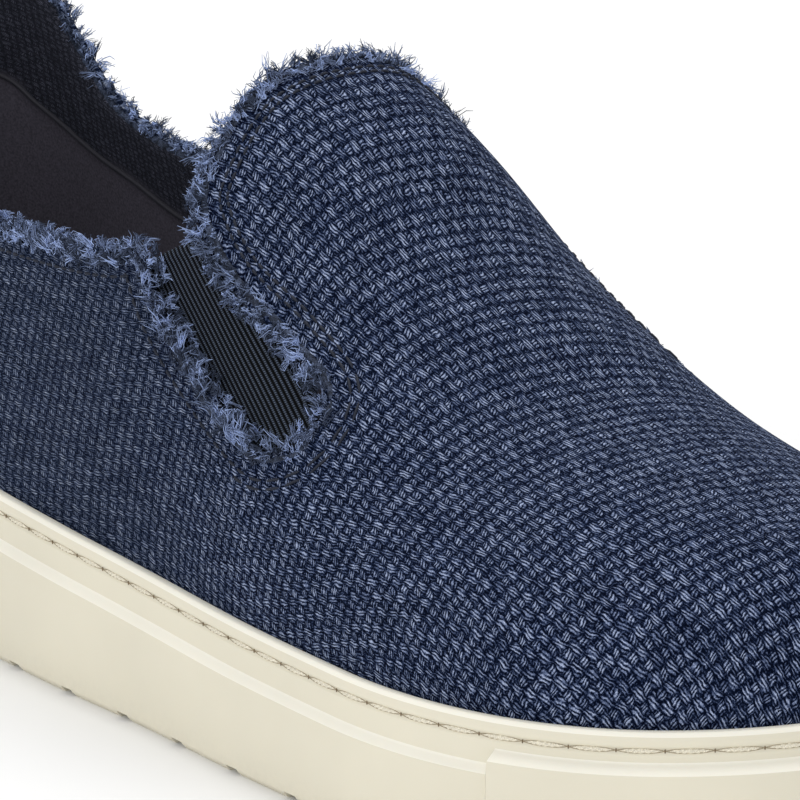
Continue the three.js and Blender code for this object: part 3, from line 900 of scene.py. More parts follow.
def footbed_finish():
    finish = Finish("footbed_cloth", roughness=0.9, specular=0.2)
    place = finish.object_mm()
    base = tuple(sizes().lining_colour)
    fine = finish.noise(place, 1.8, 4.0, 0.65)
    finish.colour(finish.ramp(fine, ((0.3, scaled(base, 0.6)), (0.7, scaled(base, 2.0)))))
    finish.bump(fine, 0.25, 0.6)
    return finish.material


def rubber_finish(name, factor):
    finish = Finish(name, roughness=0.5, specular=0.3)
    base = tuple(a * b for a, b in zip(sizes().rubber_colour, factor))
    place = finish.object_mm()
    broad = finish.noise(place, 0.03, 3.0)
    fine = finish.noise(place, 0.9, 4.0, 0.6)
    speck = finish.noise(place, 3.0, 2.0)
    colour = finish.ramp(broad, ((0.3, scaled(base, 0.95)), (0.7, scaled(base, 1.03))))
    _, _, z = finish.split(place)
    # Darker towards the bottom: patchy darkening in the lowest 5 mm of the sole
    low = finish.map_range(z, 0.0, 5.0, 0.35, 0.0)
    worn = finish.math("MULTIPLY", low, finish.map_range(fine, 0.4, 0.75))
    colour = finish.mix(worn, colour, scaled(base, 0.8))
    finish.colour(colour)
    finish.roughness(finish.map_range(speck, 0.3, 0.7, 0.42, 0.58))
    height = finish.math("ADD", finish.math("MULTIPLY", fine, 0.5), finish.math("MULTIPLY", speck, 0.2))
    finish.bump(height, 0.03, 0.5)
    finish.shader.inputs["Subsurface Weight"].default_value = 0.06
    finish.shader.inputs["Subsurface Radius"].default_value = (0.004, 0.003, 0.002)
    return finish.material


def thread_finish(name, colour):
    finish = Finish(name, roughness=0.65, specular=0.3)
    place = finish.object_mm()
    fibres = finish.noise(place, 5.0, 3.0)
    finish.colour(finish.ramp(fibres, ((0.3, scaled(colour, 0.7)), (0.7, scaled(colour, 1.15)))))
    finish.bump(fibres, 0.06, 0.6)
    return finish.material


# Pieces


def crowded(count, crowding=0.8):
    """Shares from heel to toe, closer together at both ends."""
    t = np.linspace(0, 1, count + 1)
    return t - crowding * np.sin(2 * math.pi * t) / (2 * math.pi)


def girth_seats(turn_count, foot_rows):
    """Turn, side and drop below the lip of each column of the upper, from the inner foot to the outer."""
    turns = np.linspace(0, math.pi / 2, turn_count + 1)
    drops = np.linspace(1, 0, foot_rows + 1)[:-1]
    turn = np.concatenate([np.zeros(foot_rows), turns, turns[:-1][::-1], np.zeros(foot_rows)])
    side = np.concatenate([np.ones(foot_rows + turn_count + 1), -np.ones(turn_count + foot_rows)])
    drop = np.concatenate([drops, np.zeros(2 * turn_count + 1), drops[::-1]])
    return turn, side, drop


def dent_height(share, girth):
    total = np.zeros_like(share)
    for at_share, at_girth, reach, spread, height in DENTS:
        total += height * np.exp(-(((share - at_share) / reach) ** 2) - ((girth - at_girth) / spread) ** 2)
    return total


def profile_reach(turn_count):
    """Tables over places along the shoe: reach of the middle profile, and arc from the crest by column."""
    turns = np.linspace(0, math.pi / 2, turn_count + 1)
    share, turn = np.meshgrid(np.linspace(0, 1, 500), turns, indexing="ij")
    slices = np.linspace(0.2, LAST_LENGTH - 0.2, 400)
    up, over = np.linspace(0, math.pi / 2, 120), np.linspace(0, 1, 400)
    parts = (
        (np.zeros_like(up), up),
        (over, np.full_like(over, math.pi / 2)),
        (np.ones_like(up), up[::-1]),
    )
    middle = np.vstack([last_point(shares, climbs, np.ones_like(shares)) for shares, climbs in parts])
    middle_height = np.interp(slices, middle[:, 0], middle[:, 2])
    slope = np.clip(np.gradient(middle_height, slices), -STEEPEST_PROFILE, 0)
    profile = np.cumsum(np.sqrt(1 + slope**2) * np.gradient(slices))
    arcs = {}
    for side in (-1, 1):
        form = last_point(share, turn, np.full(share.shape, float(side)))
        arc = np.zeros((len(slices), turn_count + 1))
        before = np.stack([np.zeros(len(slices)), middle_height], axis=-1)
        for j in range(turn_count, -1, -1):
            x = form[:, j, 0]
            here = np.stack([np.interp(slices, x, form[:, j, c]) for c in (1, 2)], axis=-1)
            reached = (slices >= x[0]) & (slices <= x[-1])
            step = np.where(reached, np.linalg.norm(here - before, axis=1), 0)
            arc[:, j] = (arc[:, j + 1] if j < turn_count else 0) + step
            before = np.where(reached[:, None], here, before)
        arcs[side] = arc
    return slices, profile, arcs


@functools.lru_cache(maxsize=None)
def toe_reaches():
    """Table of the reach over the toe's dome from its centre, by bearing and by angle down from the top."""
    share, turn = np.meshgrid(np.linspace(0.5, 1, 900), np.linspace(0, math.pi / 2, 500), indexing="ij")
    halves = [last_point(share, turn, np.full(share.shape, side)) for side in (-1.0, 1.0)]
    points = np.concatenate(halves).reshape(-1, 3)
    bearing, fall, radius = toe_bearing(points)
    bearings = np.linspace(-math.pi / 2, math.pi / 2, 61)
    falls = np.linspace(0, math.pi / 2, 46)
    edges = ((bearings[:-1] + bearings[1:]) / 2, (falls[:-1] + falls[1:]) / 2)
    edges = [np.concatenate([[-9], edge, [9]]) for edge in edges]
    total = np.histogram2d(bearing, fall, edges, weights=radius)[0]
    count = np.histogram2d(bearing, fall, edges)[0]
    table = np.zeros_like(total)
    for row, (sums, counts) in enumerate(zip(total, count)):
        met = counts > 0
        table[row] = np.interp(falls, falls[met], sums[met] / counts[met])
    step = np.hypot(np.diff(table, axis=1), (table[:, 1:] + table[:, :-1]) / 2 * falls[1])
    reach = np.concatenate([np.zeros((len(bearings), 1)), np.cumsum(step, axis=1)], axis=1)
    return bearings, falls, reach


def toe_bearing(points):
    """Bearing, angle down from the top and radius of points about the toe's centre."""
    low = LIP_HEIGHT * min(row[LIP] for row in SECTIONS) - 0.5
    dx, dy, dz = points[..., 0] - TOE_CENTRE, points[..., 1], points[..., 2] - low
    plan = np.hypot(dx, dy)
    return np.arctan2(dy, dx), np.arctan2(plan, np.maximum(dz, 0)), np.sqrt(plan**2 + dz**2)


def toe_cloth(points, drop):
    """Place of the toe's points on cloth that lies straight over the dome of the toe, in millimetres."""
    bearings, falls, reach = toe_reaches()
    bearing, fall, _ = toe_bearing(points)
    row = np.clip((bearing - bearings[0]) / (bearings[1] - bearings[0]), 0, len(bearings) - 1.001)
    column = np.clip(fall / falls[1], 0, len(falls) - 1.001)
    r, c = row.astype(int), column.astype(int)
    s, t = row - r, column - c
    near = reach[r, c] * (1 - t) + reach[r, c + 1] * t
    far = reach[r + 1, c] * (1 - t) + reach[r + 1, c + 1] * t
    span = near * (1 - s) + far * s + drop
    return span * np.cos(bearing), span * np.sin(bearing)


def quarter_share(x, rise, total):
    """How far a place of the upper belongs to the finer cloth of the quarters, 0 to 1."""
    behind = 1 - smooth_step(x, *QUARTER_FADE)
    low = 1 - smooth_step(rise / total, 0.45, 0.6)
    return behind * np.where(x < EDGE[-1][0] * LAST_LENGTH, 1, low)


def cloth_map(share, turn, side, drop, turn_count):
    """Place of the upper's points on the flat cloth, in metres: along the shoe, and round it."""
    slices, profile, arcs = profile_reach(turn_count)
    places = last_point(share, turn, side)
    x = np.clip(places[..., 0], slices[0], slices[-1])
    column = np.round(turn / (math.pi / 2) * turn_count).astype(int)
    arc, total = np.zeros_like(x), np.zeros_like(x)
    for sign in (-1, 1):
        mine = side == sign
        for j in range(turn_count + 1):
            here = mine & (column == j)
            arc[here] = np.interp(x[here], slices, arcs[sign][:, j])
            total[here] = np.interp(x[here], slices, arcs[sign][:, 0])
    tab = EDGE[-1][0] * LAST_LENGTH
    at_tab = np.where(side < 0, np.interp(tab, slices, arcs[-1][:, 0]), np.interp(tab, slices, arcs[1][:, 0]))
    ahead = at_tab ** (1 - CLOTH_NARROWING) * total**CLOTH_NARROWING
    behind = at_tab + CLOTH_FALL * (tab - x)
    rise = total - arc
    quarter = quarter_share(x, rise, total)
    rise = rise + (rise - QUARTER_LEVEL) * QUARTER_FINENESS * quarter
    round_it = np.where(x > tab, ahead * (1 - rise / total), behind - rise)
    round_it = side * (round_it + drop * (lip_at(share) - floor_at(share)))
    heel = np.linspace(0, HEEL_TURN_SHARE, 200)
    width = half_width(heel, -np.ones(200))
    outline = np.cumsum(np.hypot(np.gradient(heel * LAST_LENGTH), np.gradient(width)))
    lag = (outline - outline[-1]) - (heel - HEEL_TURN_SHARE) * LAST_LENGTH
    reach = np.interp(x, slices, profile) + np.interp(share, heel, lag)
    toe_reach, toe_round = toe_cloth(places, drop * (lip_at(share) - floor_at(share)))
    toe_reach = toe_reach + np.interp(TOE_CENTRE, slices, profile)
    toe = smooth_step(places[..., 0], *TOE_FADE)
    reach = reach * (1 - toe) + toe_reach * toe
    round_it = round_it * (1 - toe) + toe_round * toe
    return np.stack([reach, round_it], axis=-1) * METRES, quarter


def upper_sheet(station_count, turn_count, growth, edge_inset):
    """Sheet over the last, grown by an amount, cut back from the raw edge, snapped to a clean rim."""
    turn, side, drop = girth_seats(turn_count, FOOT_ROWS)
    share, turn = np.meshgrid(crowded(station_count), turn, indexing="ij")
    side, drop = np.broadcast_to(side, share.shape), np.broadcast_to(drop, share.shape)
    points = last_point(share, turn, side)
    normals = surface_normal(share, turn, side)
    girth = side * (1 - turn / (math.pi / 2))
    flat = np.minimum(np.minimum(share, 1 - share) / 0.04, 1)
    points = points + normals * (growth + flat * dent_height(share, girth))[..., None]
    foot = floor_at(share) + SEAT_GAP
    points[..., 2] = points[..., 2] + (foot - points[..., 2]) * drop
    ends = np.array([0, -1])
    points[ends, :, 1] = 0
    cloth, quarter = cloth_map(share, turn, side, drop, turn_count)
    bm = sheet(points, {"quarter": quarter}, cloth)
    bmesh.ops.remove_doubles(bm, verts=bm.verts, dist=SAME_PLACE)
    edge_points = raw_edge()[0]
    tree = KDTree(len(edge_points))
    for index, place in enumerate(edge_points):
        tree.insert(place, index)
    tree.balance()
    centres = np.array([face.calc_center_median() for face in bm.faces])
    cut = in_opening(centres)
    doomed = [
        face
        for face, is_cut, centre in zip(bm.faces, cut, centres)
        if is_cut or tree.find(centre)[2] < edge_inset
    ]
    bmesh.ops.delete(bm, geom=doomed, context="FACES")
    keep_largest(bm)
    far = bm.verts.layers.float.new("edge_distance")
    for vert in bm.verts:
        vert[far] = tree.find(vert.co)[2]
    edge_normals, edge_opening = raw_edge()[1], raw_edge()[3]
    for vert in bm.verts:
        if vert.is_boundary and vert[far] < edge_inset + RIM_REACH:
            index = tree.find(vert.co)[1]
            vert.co = edge_points[index] - edge_opening[index] * edge_inset + edge_normals[index] * growth
            vert[far] = edge_inset
    return bm


def keep_largest(bm):
    """Deletes all but the largest connected part."""
    left = set(bm.verts)
    parts = []
    while left:
        stack = [left.pop()]
        part = set(stack)
        while stack:
            for edge in stack.pop().link_edges:
                for vert in edge.verts:
                    if vert not in part:
                        part.add(vert)
                        stack.append(vert)
        left -= part
        parts.append(part)
    parts.sort(key=len, reverse=True)
    bmesh.ops.delete(bm, geom=[v for part in parts[1:] for v in part], context="VERTS")


class SHOE_OT_canvas_upper(bpy.types.Operator):
    """Builds the canvas upper as one thick sheet with its weave"""

    bl_idname = "shoe.canvas_upper"
    bl_label = "Canvas upper"

    def execute(self, context):
        bm = upper_sheet(CANVAS_STATIONS, CANVAS_TURNS, 0.0, CANVAS_INSET)
        piece = finish_piece(bm, "canvas_upper", [canvas_finish()])
        thick = piece.modifiers.new("thickness", "SOLIDIFY")
        thick.thickness = CANVAS_THICKNESS * METRES
        thick.offset = -1.0
        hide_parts("upper")
        return {"FINISHED"}


class SHOE_OT_lining(bpy.types.Operator):
    """Builds the lining with its woven band under the collar"""

    bl_idname = "shoe.lining"
    bl_label = "Lining"

    def execute(self, context):
        bm = upper_sheet(LINING_STATIONS, LINING_TURNS, -(CANVAS_THICKNESS + LINING_GAP), LINING_INSET)
        far = bm.verts.layers.float["edge_distance"]
        band = bm.verts.layers.float.new("in_band")
        bm.normal_update()
        for vert in bm.verts:
            behind = float(smooth_step(vert.co.z - collar_seam_height(vert.co.x), -0.6, 0.6))
            ahead = 1 - float(smooth_step(vert[far], COLLAR_BAND_DEPTH - 0.7, COLLAR_BAND_DEPTH + 0.7))
            forward = float(smooth_step(vert.co.x, *COLLAR_SEAM_END))
            share = behind * (1 - forward) + ahead * forward
            vert[band] = share
            vert.co -= vert.normal * share * COLLAR_BAND_THICKNESS
        piece = finish_piece(bm, "lining", [lining_finish()])
        thick = piece.modifiers.new("thickness", "SOLIDIFY")
        thick.thickness = LINING_THICKNESS * METRES
        thick.offset = -1.0
        self.seam(piece)
        return {"FINISHED"}

    def seam(self, lining):
        """Corded seam where the collar band ends, round the quarters and the heel."""
        mesh = lining.data
        tree = BVHTree.FromPolygons([v.co for v in mesh.vertices], [p.vertices for p in mesh.polygons])
        x = np.linspace(1.0, COLLAR_SEAM_END[0], 110)
        places = []
        for side, order in ((-1.0, slice(None, None, -1)), (1.0, slice(1, None))):
            sides = np.full(len(x), side)
            share, turn = place_on_last(x, collar_seam_height(x), sides)
            inside = last_point(share, turn, sides) - 2 * surface_normal(share, turn, sides)
            for point in inside[order]:
                place, facing, _, _ = tree.find_nearest(in_frame(point))
                places.append(from_frame(place) - facing * (LINING_THICKNESS + 0.15))
        radii = [SEAM_RADIUS] * len(places)
        finishes = [thread_finish("seam_cord", (0.035, 0.035, 0.045))]
        threads("collar_seam", [(places, radii, 0)], finishes, 2)


class SHOE_OT_elastic_gores(bpy.types.Operator):
    """Builds the two ribbed elastic panels behind the gore slots"""

    bl_idname = "shoe.elastic_gores"
    bl_label = "Elastic gores"

    def execute(self, context):
        finish = elastic_finish()
        for side, name in ((-1, "gore_lateral"), (1, "gore_medial")):
            self.panel(side, name, finish)
        return {"FINISHED"}

    def panel(self, side, name, finish):
        corners = []
        for share, instep, lower in (GORE_TOP_BACK, GORE_TOP_FRONT, GORE_FOOT_FRONT, GORE_FOOT_BACK):
            instep = instep - lower if side > 0 else instep
            corners.append(np.array([share * LAST_LENGTH, lip_at(share) + instep * INSTEP_HEIGHT]))
        back, front, foot_front, foot_back = corners
        length = float(np.linalg.norm((foot_back + foot_front - back - front) / 2))
        width = float(np.linalg.norm(front - back))
        ribs = round(width / RIB_PITCH)
        across = ribs * RIB_STEPS
        down = GORE_ROWS
        s, t = np.meshgrid(np.linspace(0, 1, down + 1), np.linspace(0, 1, across + 1), indexing="ij")
        top = back + (front - back) * t[..., None]
        foot = foot_back + (foot_front - foot_back) * t[..., None]
        view = top + (foot - top) * s[..., None]
        sides = np.full(s.shape, float(side))
        share, turn = place_on_last(view[..., 0], view[..., 1], sides)
        phase = (t * ribs) % 1
        rib = np.sqrt(np.clip(1 - (2 * phase - 1) ** 2, 0, 1))
        hem = np.exp(-((s * length - 1.4) / 0.9) ** 2)
        depth = -(UPPER_WALL + SEAT_GAP) + 0.05 + 0.2 * rib * (1 - 0.5 * hem) + 0.25 * hem
        points = last_point(share, turn, sides) + surface_normal(share, turn, sides) * depth[..., None]
        cloth = np.stack([s * length, t * width], axis=-1) * METRES
        bm = sheet(points, {"rib": np.maximum(rib, 0.5 * hem)}, cloth)
        bm.normal_update()
        middle = next(iter(bm.faces))
        if middle.normal.y * side < 0:
            bmesh.ops.reverse_faces(bm, faces=bm.faces)
        piece = finish_piece(bm, "elastic_" + name, [finish])
        thick = piece.modifiers.new("thickness", "SOLIDIFY")
        thick.thickness = GORE_THICKNESS * METRES
        thick.offset = -1.0
        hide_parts(name)


@functools.lru_cache(maxsize=None)
def ring_base():
    """Plan outline of the last: shares, sides, points and outward ways."""
    edge = WRAP_EDGE / LAST_LENGTH
    extra = [WRAP_START - edge, WRAP_START - edge / 2, WRAP_START, WRAP_START + edge / 3]
    shares = np.unique(np.concatenate([crowded(190), extra]))
    share = np.concatenate([shares, shares[1:-1][::-1]])
    side = np.concatenate([-np.ones(len(shares)), np.ones(len(shares) - 2)])
    base = np.stack([share * LAST_LENGTH, side * half_width(share, side)], axis=-1)
    travel = unit(np.roll(base, -1, axis=0) - np.roll(base, 1, axis=0))
    outward = np.stack([travel[:, 1], -travel[:, 0]], axis=-1)
    return share, side, base, outward


def ring(out, height):
    """Closed ring of points round the outline, moved outwards, at a height."""
    share, _, base, outward = ring_base()
    plan = base + outward * np.broadcast_to(out, share.shape)[:, None]
    return np.column_stack([plan, np.broadcast_to(height, share.shape)])


def towards_middle(points, shares_in):
    """Rings that carry a ring inwards to the middle line, which closes a floor."""
    share = ring_base()[0]
    middle = points.copy()
    middle[:, 0] = np.clip(share, 0.06, 0.94) * LAST_LENGTH
    middle[:, 1] = 0
    return [points + (middle - points) * part for part in shares_in]


def softened(corners, radii, steps=4):
    """Profile rows with rounded corners; a corner is its outward place and its height round the ring."""
    rows = [corners[0]]
    for i in range(1, len(corners) - 1):
        here = np.stack(corners[i])
        radius = radii[i]
        if radius == 0:
            rows.append(corners[i])
            continue
        back, ahead = np.stack(corners[i - 1]) - here, np.stack(corners[i + 1]) - here
        a = here + back / np.maximum(np.linalg.norm(back, axis=0), 1e-6) * radius
        c = here + ahead / np.maximum(np.linalg.norm(ahead, axis=0), 1e-6) * radius
        for t in np.linspace(0, 1, steps):
            row = (1 - t) ** 2 * a + 2 * t * (1 - t) * here + t**2 * c
            rows.append((row[0], row[1]))
    rows.append(corners[-1])
    return rows


def cup_rows():
    """Profile of the cup's wall from the tread's edge up and over the lip to the floor inside."""
    share = ring_base()[0]
    wrap = smooth_step(share, WRAP_START - WRAP_EDGE / LAST_LENGTH, WRAP_START)
    wall = BAND_OUT + LEDGE_OUT + WRAP_OUT * wrap
    behind = 1 - smooth_step(share, 0.2, 0.5)
    ledge = LEDGE_BELOW - LEDGE_HIGHER_BEHIND * behind + (WRAP_BELOW - LEDGE_BELOW) * wrap
    lip, ground = cup_lip_at(share), ground_at(share)
    same = np.ones_like(share)
    corners = [
        (wall + WALL_FLARE - BOTTOM_CHAMFER, ground),
        (wall + WALL_FLARE, ground + BOTTOM_CHAMFER),
        (wall + WALL_FLARE * 0.45, ground + 0.35 * (lip - ledge - LEDGE_BEVEL - ground)),
        (wall, lip - ledge - LEDGE_BEVEL),
        (BAND_OUT * same, lip - ledge),
        (BAND_OUT * same, lip - GROOVE_BELOW - GROOVE_WIDTH / 2),
        ((BAND_OUT - GROOVE_DEPTH) * same, lip - GROOVE_BELOW),
        (BAND_OUT * same, lip - GROOVE_BELOW + GROOVE_WIDTH / 2),
        ((BAND_OUT + 0.15) * same, lip - LIP_ROUND),
        ((BAND_OUT - 0.55) * same, lip - 0.1),
        ((BAND_OUT + SEAT_GAP) / 2 * same, lip),
        (SEAT_GAP * same, lip - SEAT_GAP),
        (SEAT_GAP * same, floor_at(share)),
    ]
    radii = (0, 0.45, 0, 0.35, 0.4, 0.22, 0.5, 0.22, 0.55, 0.4, 0.5, 0.3, 0)
    return softened(corners, radii)


class SHOE_OT_cup_sole(bpy.types.Operator):
    """Builds the moulded cup sole with its stitch groove, ledge, toe wrap and tread"""

    bl_idname = "shoe.cup_sole"
    bl_label = "Cup sole"

    def execute(self, context):
        rows = [ring(out, height) for out, height in cup_rows()]
        under = towards_middle(rows[0], (1.0, 0.75, 0.5, 0.25))
        inside = towards_middle(rows[-1], (0.25, 0.5, 0.75, 1.0))
        bm = loft(under + rows + inside, True, {len(under) + row for row in PAINTED_HIGHLIGHT_ROWS})
        cutter = self.cutters()
        finishes = [
            rubber_finish("cream_rubber", (0.93, 0.918, 0.87)),
            # Same cream rubber painted lighter: a painted highlight on the ledge's bevel and on the lip
            rubber_finish("painted_highlight_rubber", (1.1, 1.115, 1.14)),
        ]
        piece = finish_piece(bm, "cup_sole", finishes, smooth=False)
        tool = finish_piece(cutter, "tread_cuts", [], smooth=False)
        cut = piece.modifiers.new("tread", "BOOLEAN")
        cut.operation = "DIFFERENCE"
        cut.solver = "EXACT"
        cut.object = tool
        shaped = bpy.data.meshes.new_from_object(piece.evaluated_get(context.evaluated_depsgraph_get()))
        piece.modifiers.clear()
        piece.data = shaped
        bpy.data.objects.remove(tool)
        shaped.shade_smooth()
        shaped.set_sharp_from_angle(angle=math.radians(38))
        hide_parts("cupsole")
        return {"FINISHED"}

    def cutters(self):
        bm = bmesh.new()
        first = -int(TREAD_MIDDLE // TREAD_PITCH)
        last = int((LAST_LENGTH - TREAD_MIDDLE) // TREAD_PITCH)
        height = 2 * TREAD_DEPTH + TOE_SPRING
        for k in range(first, last + 1):
            x = TREAD_MIDDLE + k * TREAD_PITCH
            share = x / LAST_LENGTH
            if WAIST_FROM < share < WAIST_TO:
                continue
            made = bmesh.ops.create_cube(bm, size=1)["verts"]
            bmesh.ops.scale(bm, vec=(TREAD_GROOVE, 2 * BALL_WIDTH, height), verts=made)
            middle = float(ground_at(share)) + TREAD_DEPTH - height / 2
            bmesh.ops.translate(bm, vec=(x, 0, middle), verts=made)
        self.waist(bm)
        return bm

    def waist(self, bm):
        inset = WAIST_RIM - BAND_OUT - LEDGE_OUT
        shares = np.linspace(WAIST_FROM, WAIST_TO, 13)
        outer = -(half_width(shares, -np.ones(13)) - inset)
        inner = half_width(shares, np.ones(13)) - inset
        plan = [(s * LAST_LENGTH, y, -WAIST_DEPTH) for s, y in zip(shares, outer)]
        plan += [(s * LAST_LENGTH, y, -WAIST_DEPTH) for s, y in zip(shares[::-1], inner[::-1])]
        face = bmesh.ops.contextual_create(bm, geom=[bm.verts.new(p) for p in plan])["faces"]
        made = bmesh.ops.extrude_face_region(bm, geom=face)["geom"]
        raised = [g for g in made if isinstance(g, bmesh.types.BMVert)]
        bmesh.ops.translate(bm, vec=(0, 0, 2 * WAIST_DEPTH), verts=raised)
        bmesh.ops.recalc_face_normals(bm, faces=bm.faces)


class SHOE_OT_sole_stitches(bpy.types.Operator):
    """Lays the twisted stitches and their holes in the groove of the cup sole"""

    bl_idname = "shoe.sole_stitches"
    bl_label = "Sole stitches"

    def execute(self, context):
        share = ring_base()[0]
        line = ring(BAND_OUT - 0.3, cup_lip_at(share) - GROOVE_BELOW)
        outside = np.column_stack([ring_base()[3], np.zeros(len(line))])
        table = np.hstack([line, outside])
        table = np.vstack([table, table[:1]])
        reach = np.concatenate([[0], np.cumsum(np.linalg.norm(np.diff(table[:, :3], axis=0), axis=1))])
        count = round(reach[-1] * METRES / sizes().stitch_length)
        pitch = reach[-1] / count
        strands, holes = [], []
        for k in range(count):
            start = k * pitch
            strands += self.stitch(table, reach, start, pitch)
            holes.append(self.hole(table, reach, start))
        finishes = [
            thread_finish("cream_thread", (0.8, 0.75, 0.62)),
            # The brown lines beside the stitches are painted shadow
            thread_finish("painted_shadow_line", (0.36, 0.29, 0.19)),
        ]
        threads("sole_thread", strands, finishes, 1)
        threads("stitch_holes", holes, [thread_finish("shaded_hole", (0.2, 0.145, 0.085))], 1)
        return {"FINISHED"}

    def at(self, table, reach, distance):
        wanted = distance % reach[-1]
        row = np.array([np.interp(wanted, reach, table[:, c]) for c in range(6)])
        return Vector(row[:3]), Vector(row[3:]).normalized()

    def stitch(self, table, reach, start, pitch):
        """Two plies twisted round each other, thick in the middle and drawn in at both holes, with thin brown
        lines along the stitch's top and bottom edges as painted shadow where the thread meets the groove.
        """
        steps = STITCH_STEPS
        plies = []
        for ply in (0, 1):
            points, radii = [], []
            for i in range(steps + 1):
                t = i / steps
                fat = math.sin(math.pi * (0.04 + 0.92 * t)) ** 0.6
                place, out = self.at(table, reach, start + pitch * (0.03 + 0.94 * t))
                angle = 2 * math.pi * STITCH_TURNS * t + math.pi * ply
                sink = -0.5 * (1 - fat)
                swing = 0.16 * fat
                aside = Vector((0, 0, swing * math.sin(angle)))
                points.append(place + out * (sink + swing * math.cos(angle)) + aside)
                radii.append(0.08 + 0.19 * fat)
            plies.append((points, radii, 0))
            # Thin brown line along the stitch's top or bottom edge: painted shadow where the thread meets the
            # groove
            edge = 1 - 2 * ply
            shadow_lines = []
            for i in range(steps + 1):
                t = i / steps
                place, out = self.at(table, reach, start + pitch * t)
                bow = math.sin(math.pi * t) ** 0.7
                shadow_lines.append(place + out * 0.02 + Vector((0, 0, edge * (0.46 * bow - 0.05))))
            plies.append((shadow_lines, [0.05] * len(shadow_lines), 1))
        return plies

    def hole(self, table, reach, start):
        place, out = self.at(table, reach, start)
        up = Vector((0, 0, 1))
        points = [place + out * 0.05 + up * h for h in (-0.32, -0.15, 0.1, 0.3)]
        return points, [0.05, 0.11, 0.11, 0.05], 0


class SHOE_OT_insole(bpy.types.Operator):
    """Builds the cloth-covered insole in the cup"""

    bl_idname = "shoe.insole"
    bl_label = "Insole"

    def execute(self, context):
        share = ring_base()[0]
        edge = -(UPPER_WALL + SEAT_GAP)
        under = floor_at(share) + SEAT_GAP
        same = np.ones_like(share)
        corners = [
            (edge * same, under),
            (edge * same, under + INSOLE_THICKNESS),
            ((edge - INSOLE_RIM) * same, under + INSOLE_THICKNESS - INSOLE_DISH),
        ]
        rows = [ring(out, height) for out, height in softened(corners, (0, 1.0, 0), 5)]
        below = towards_middle(rows[0], (1.0, 0.5))
        above = towards_middle(rows[-1], (0.33, 0.66, 1.0))
        piece = finish_piece(loft(below + rows + above, True), "footbed_pad", [footbed_finish()])
        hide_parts("insole")
        return {"FINISHED"}


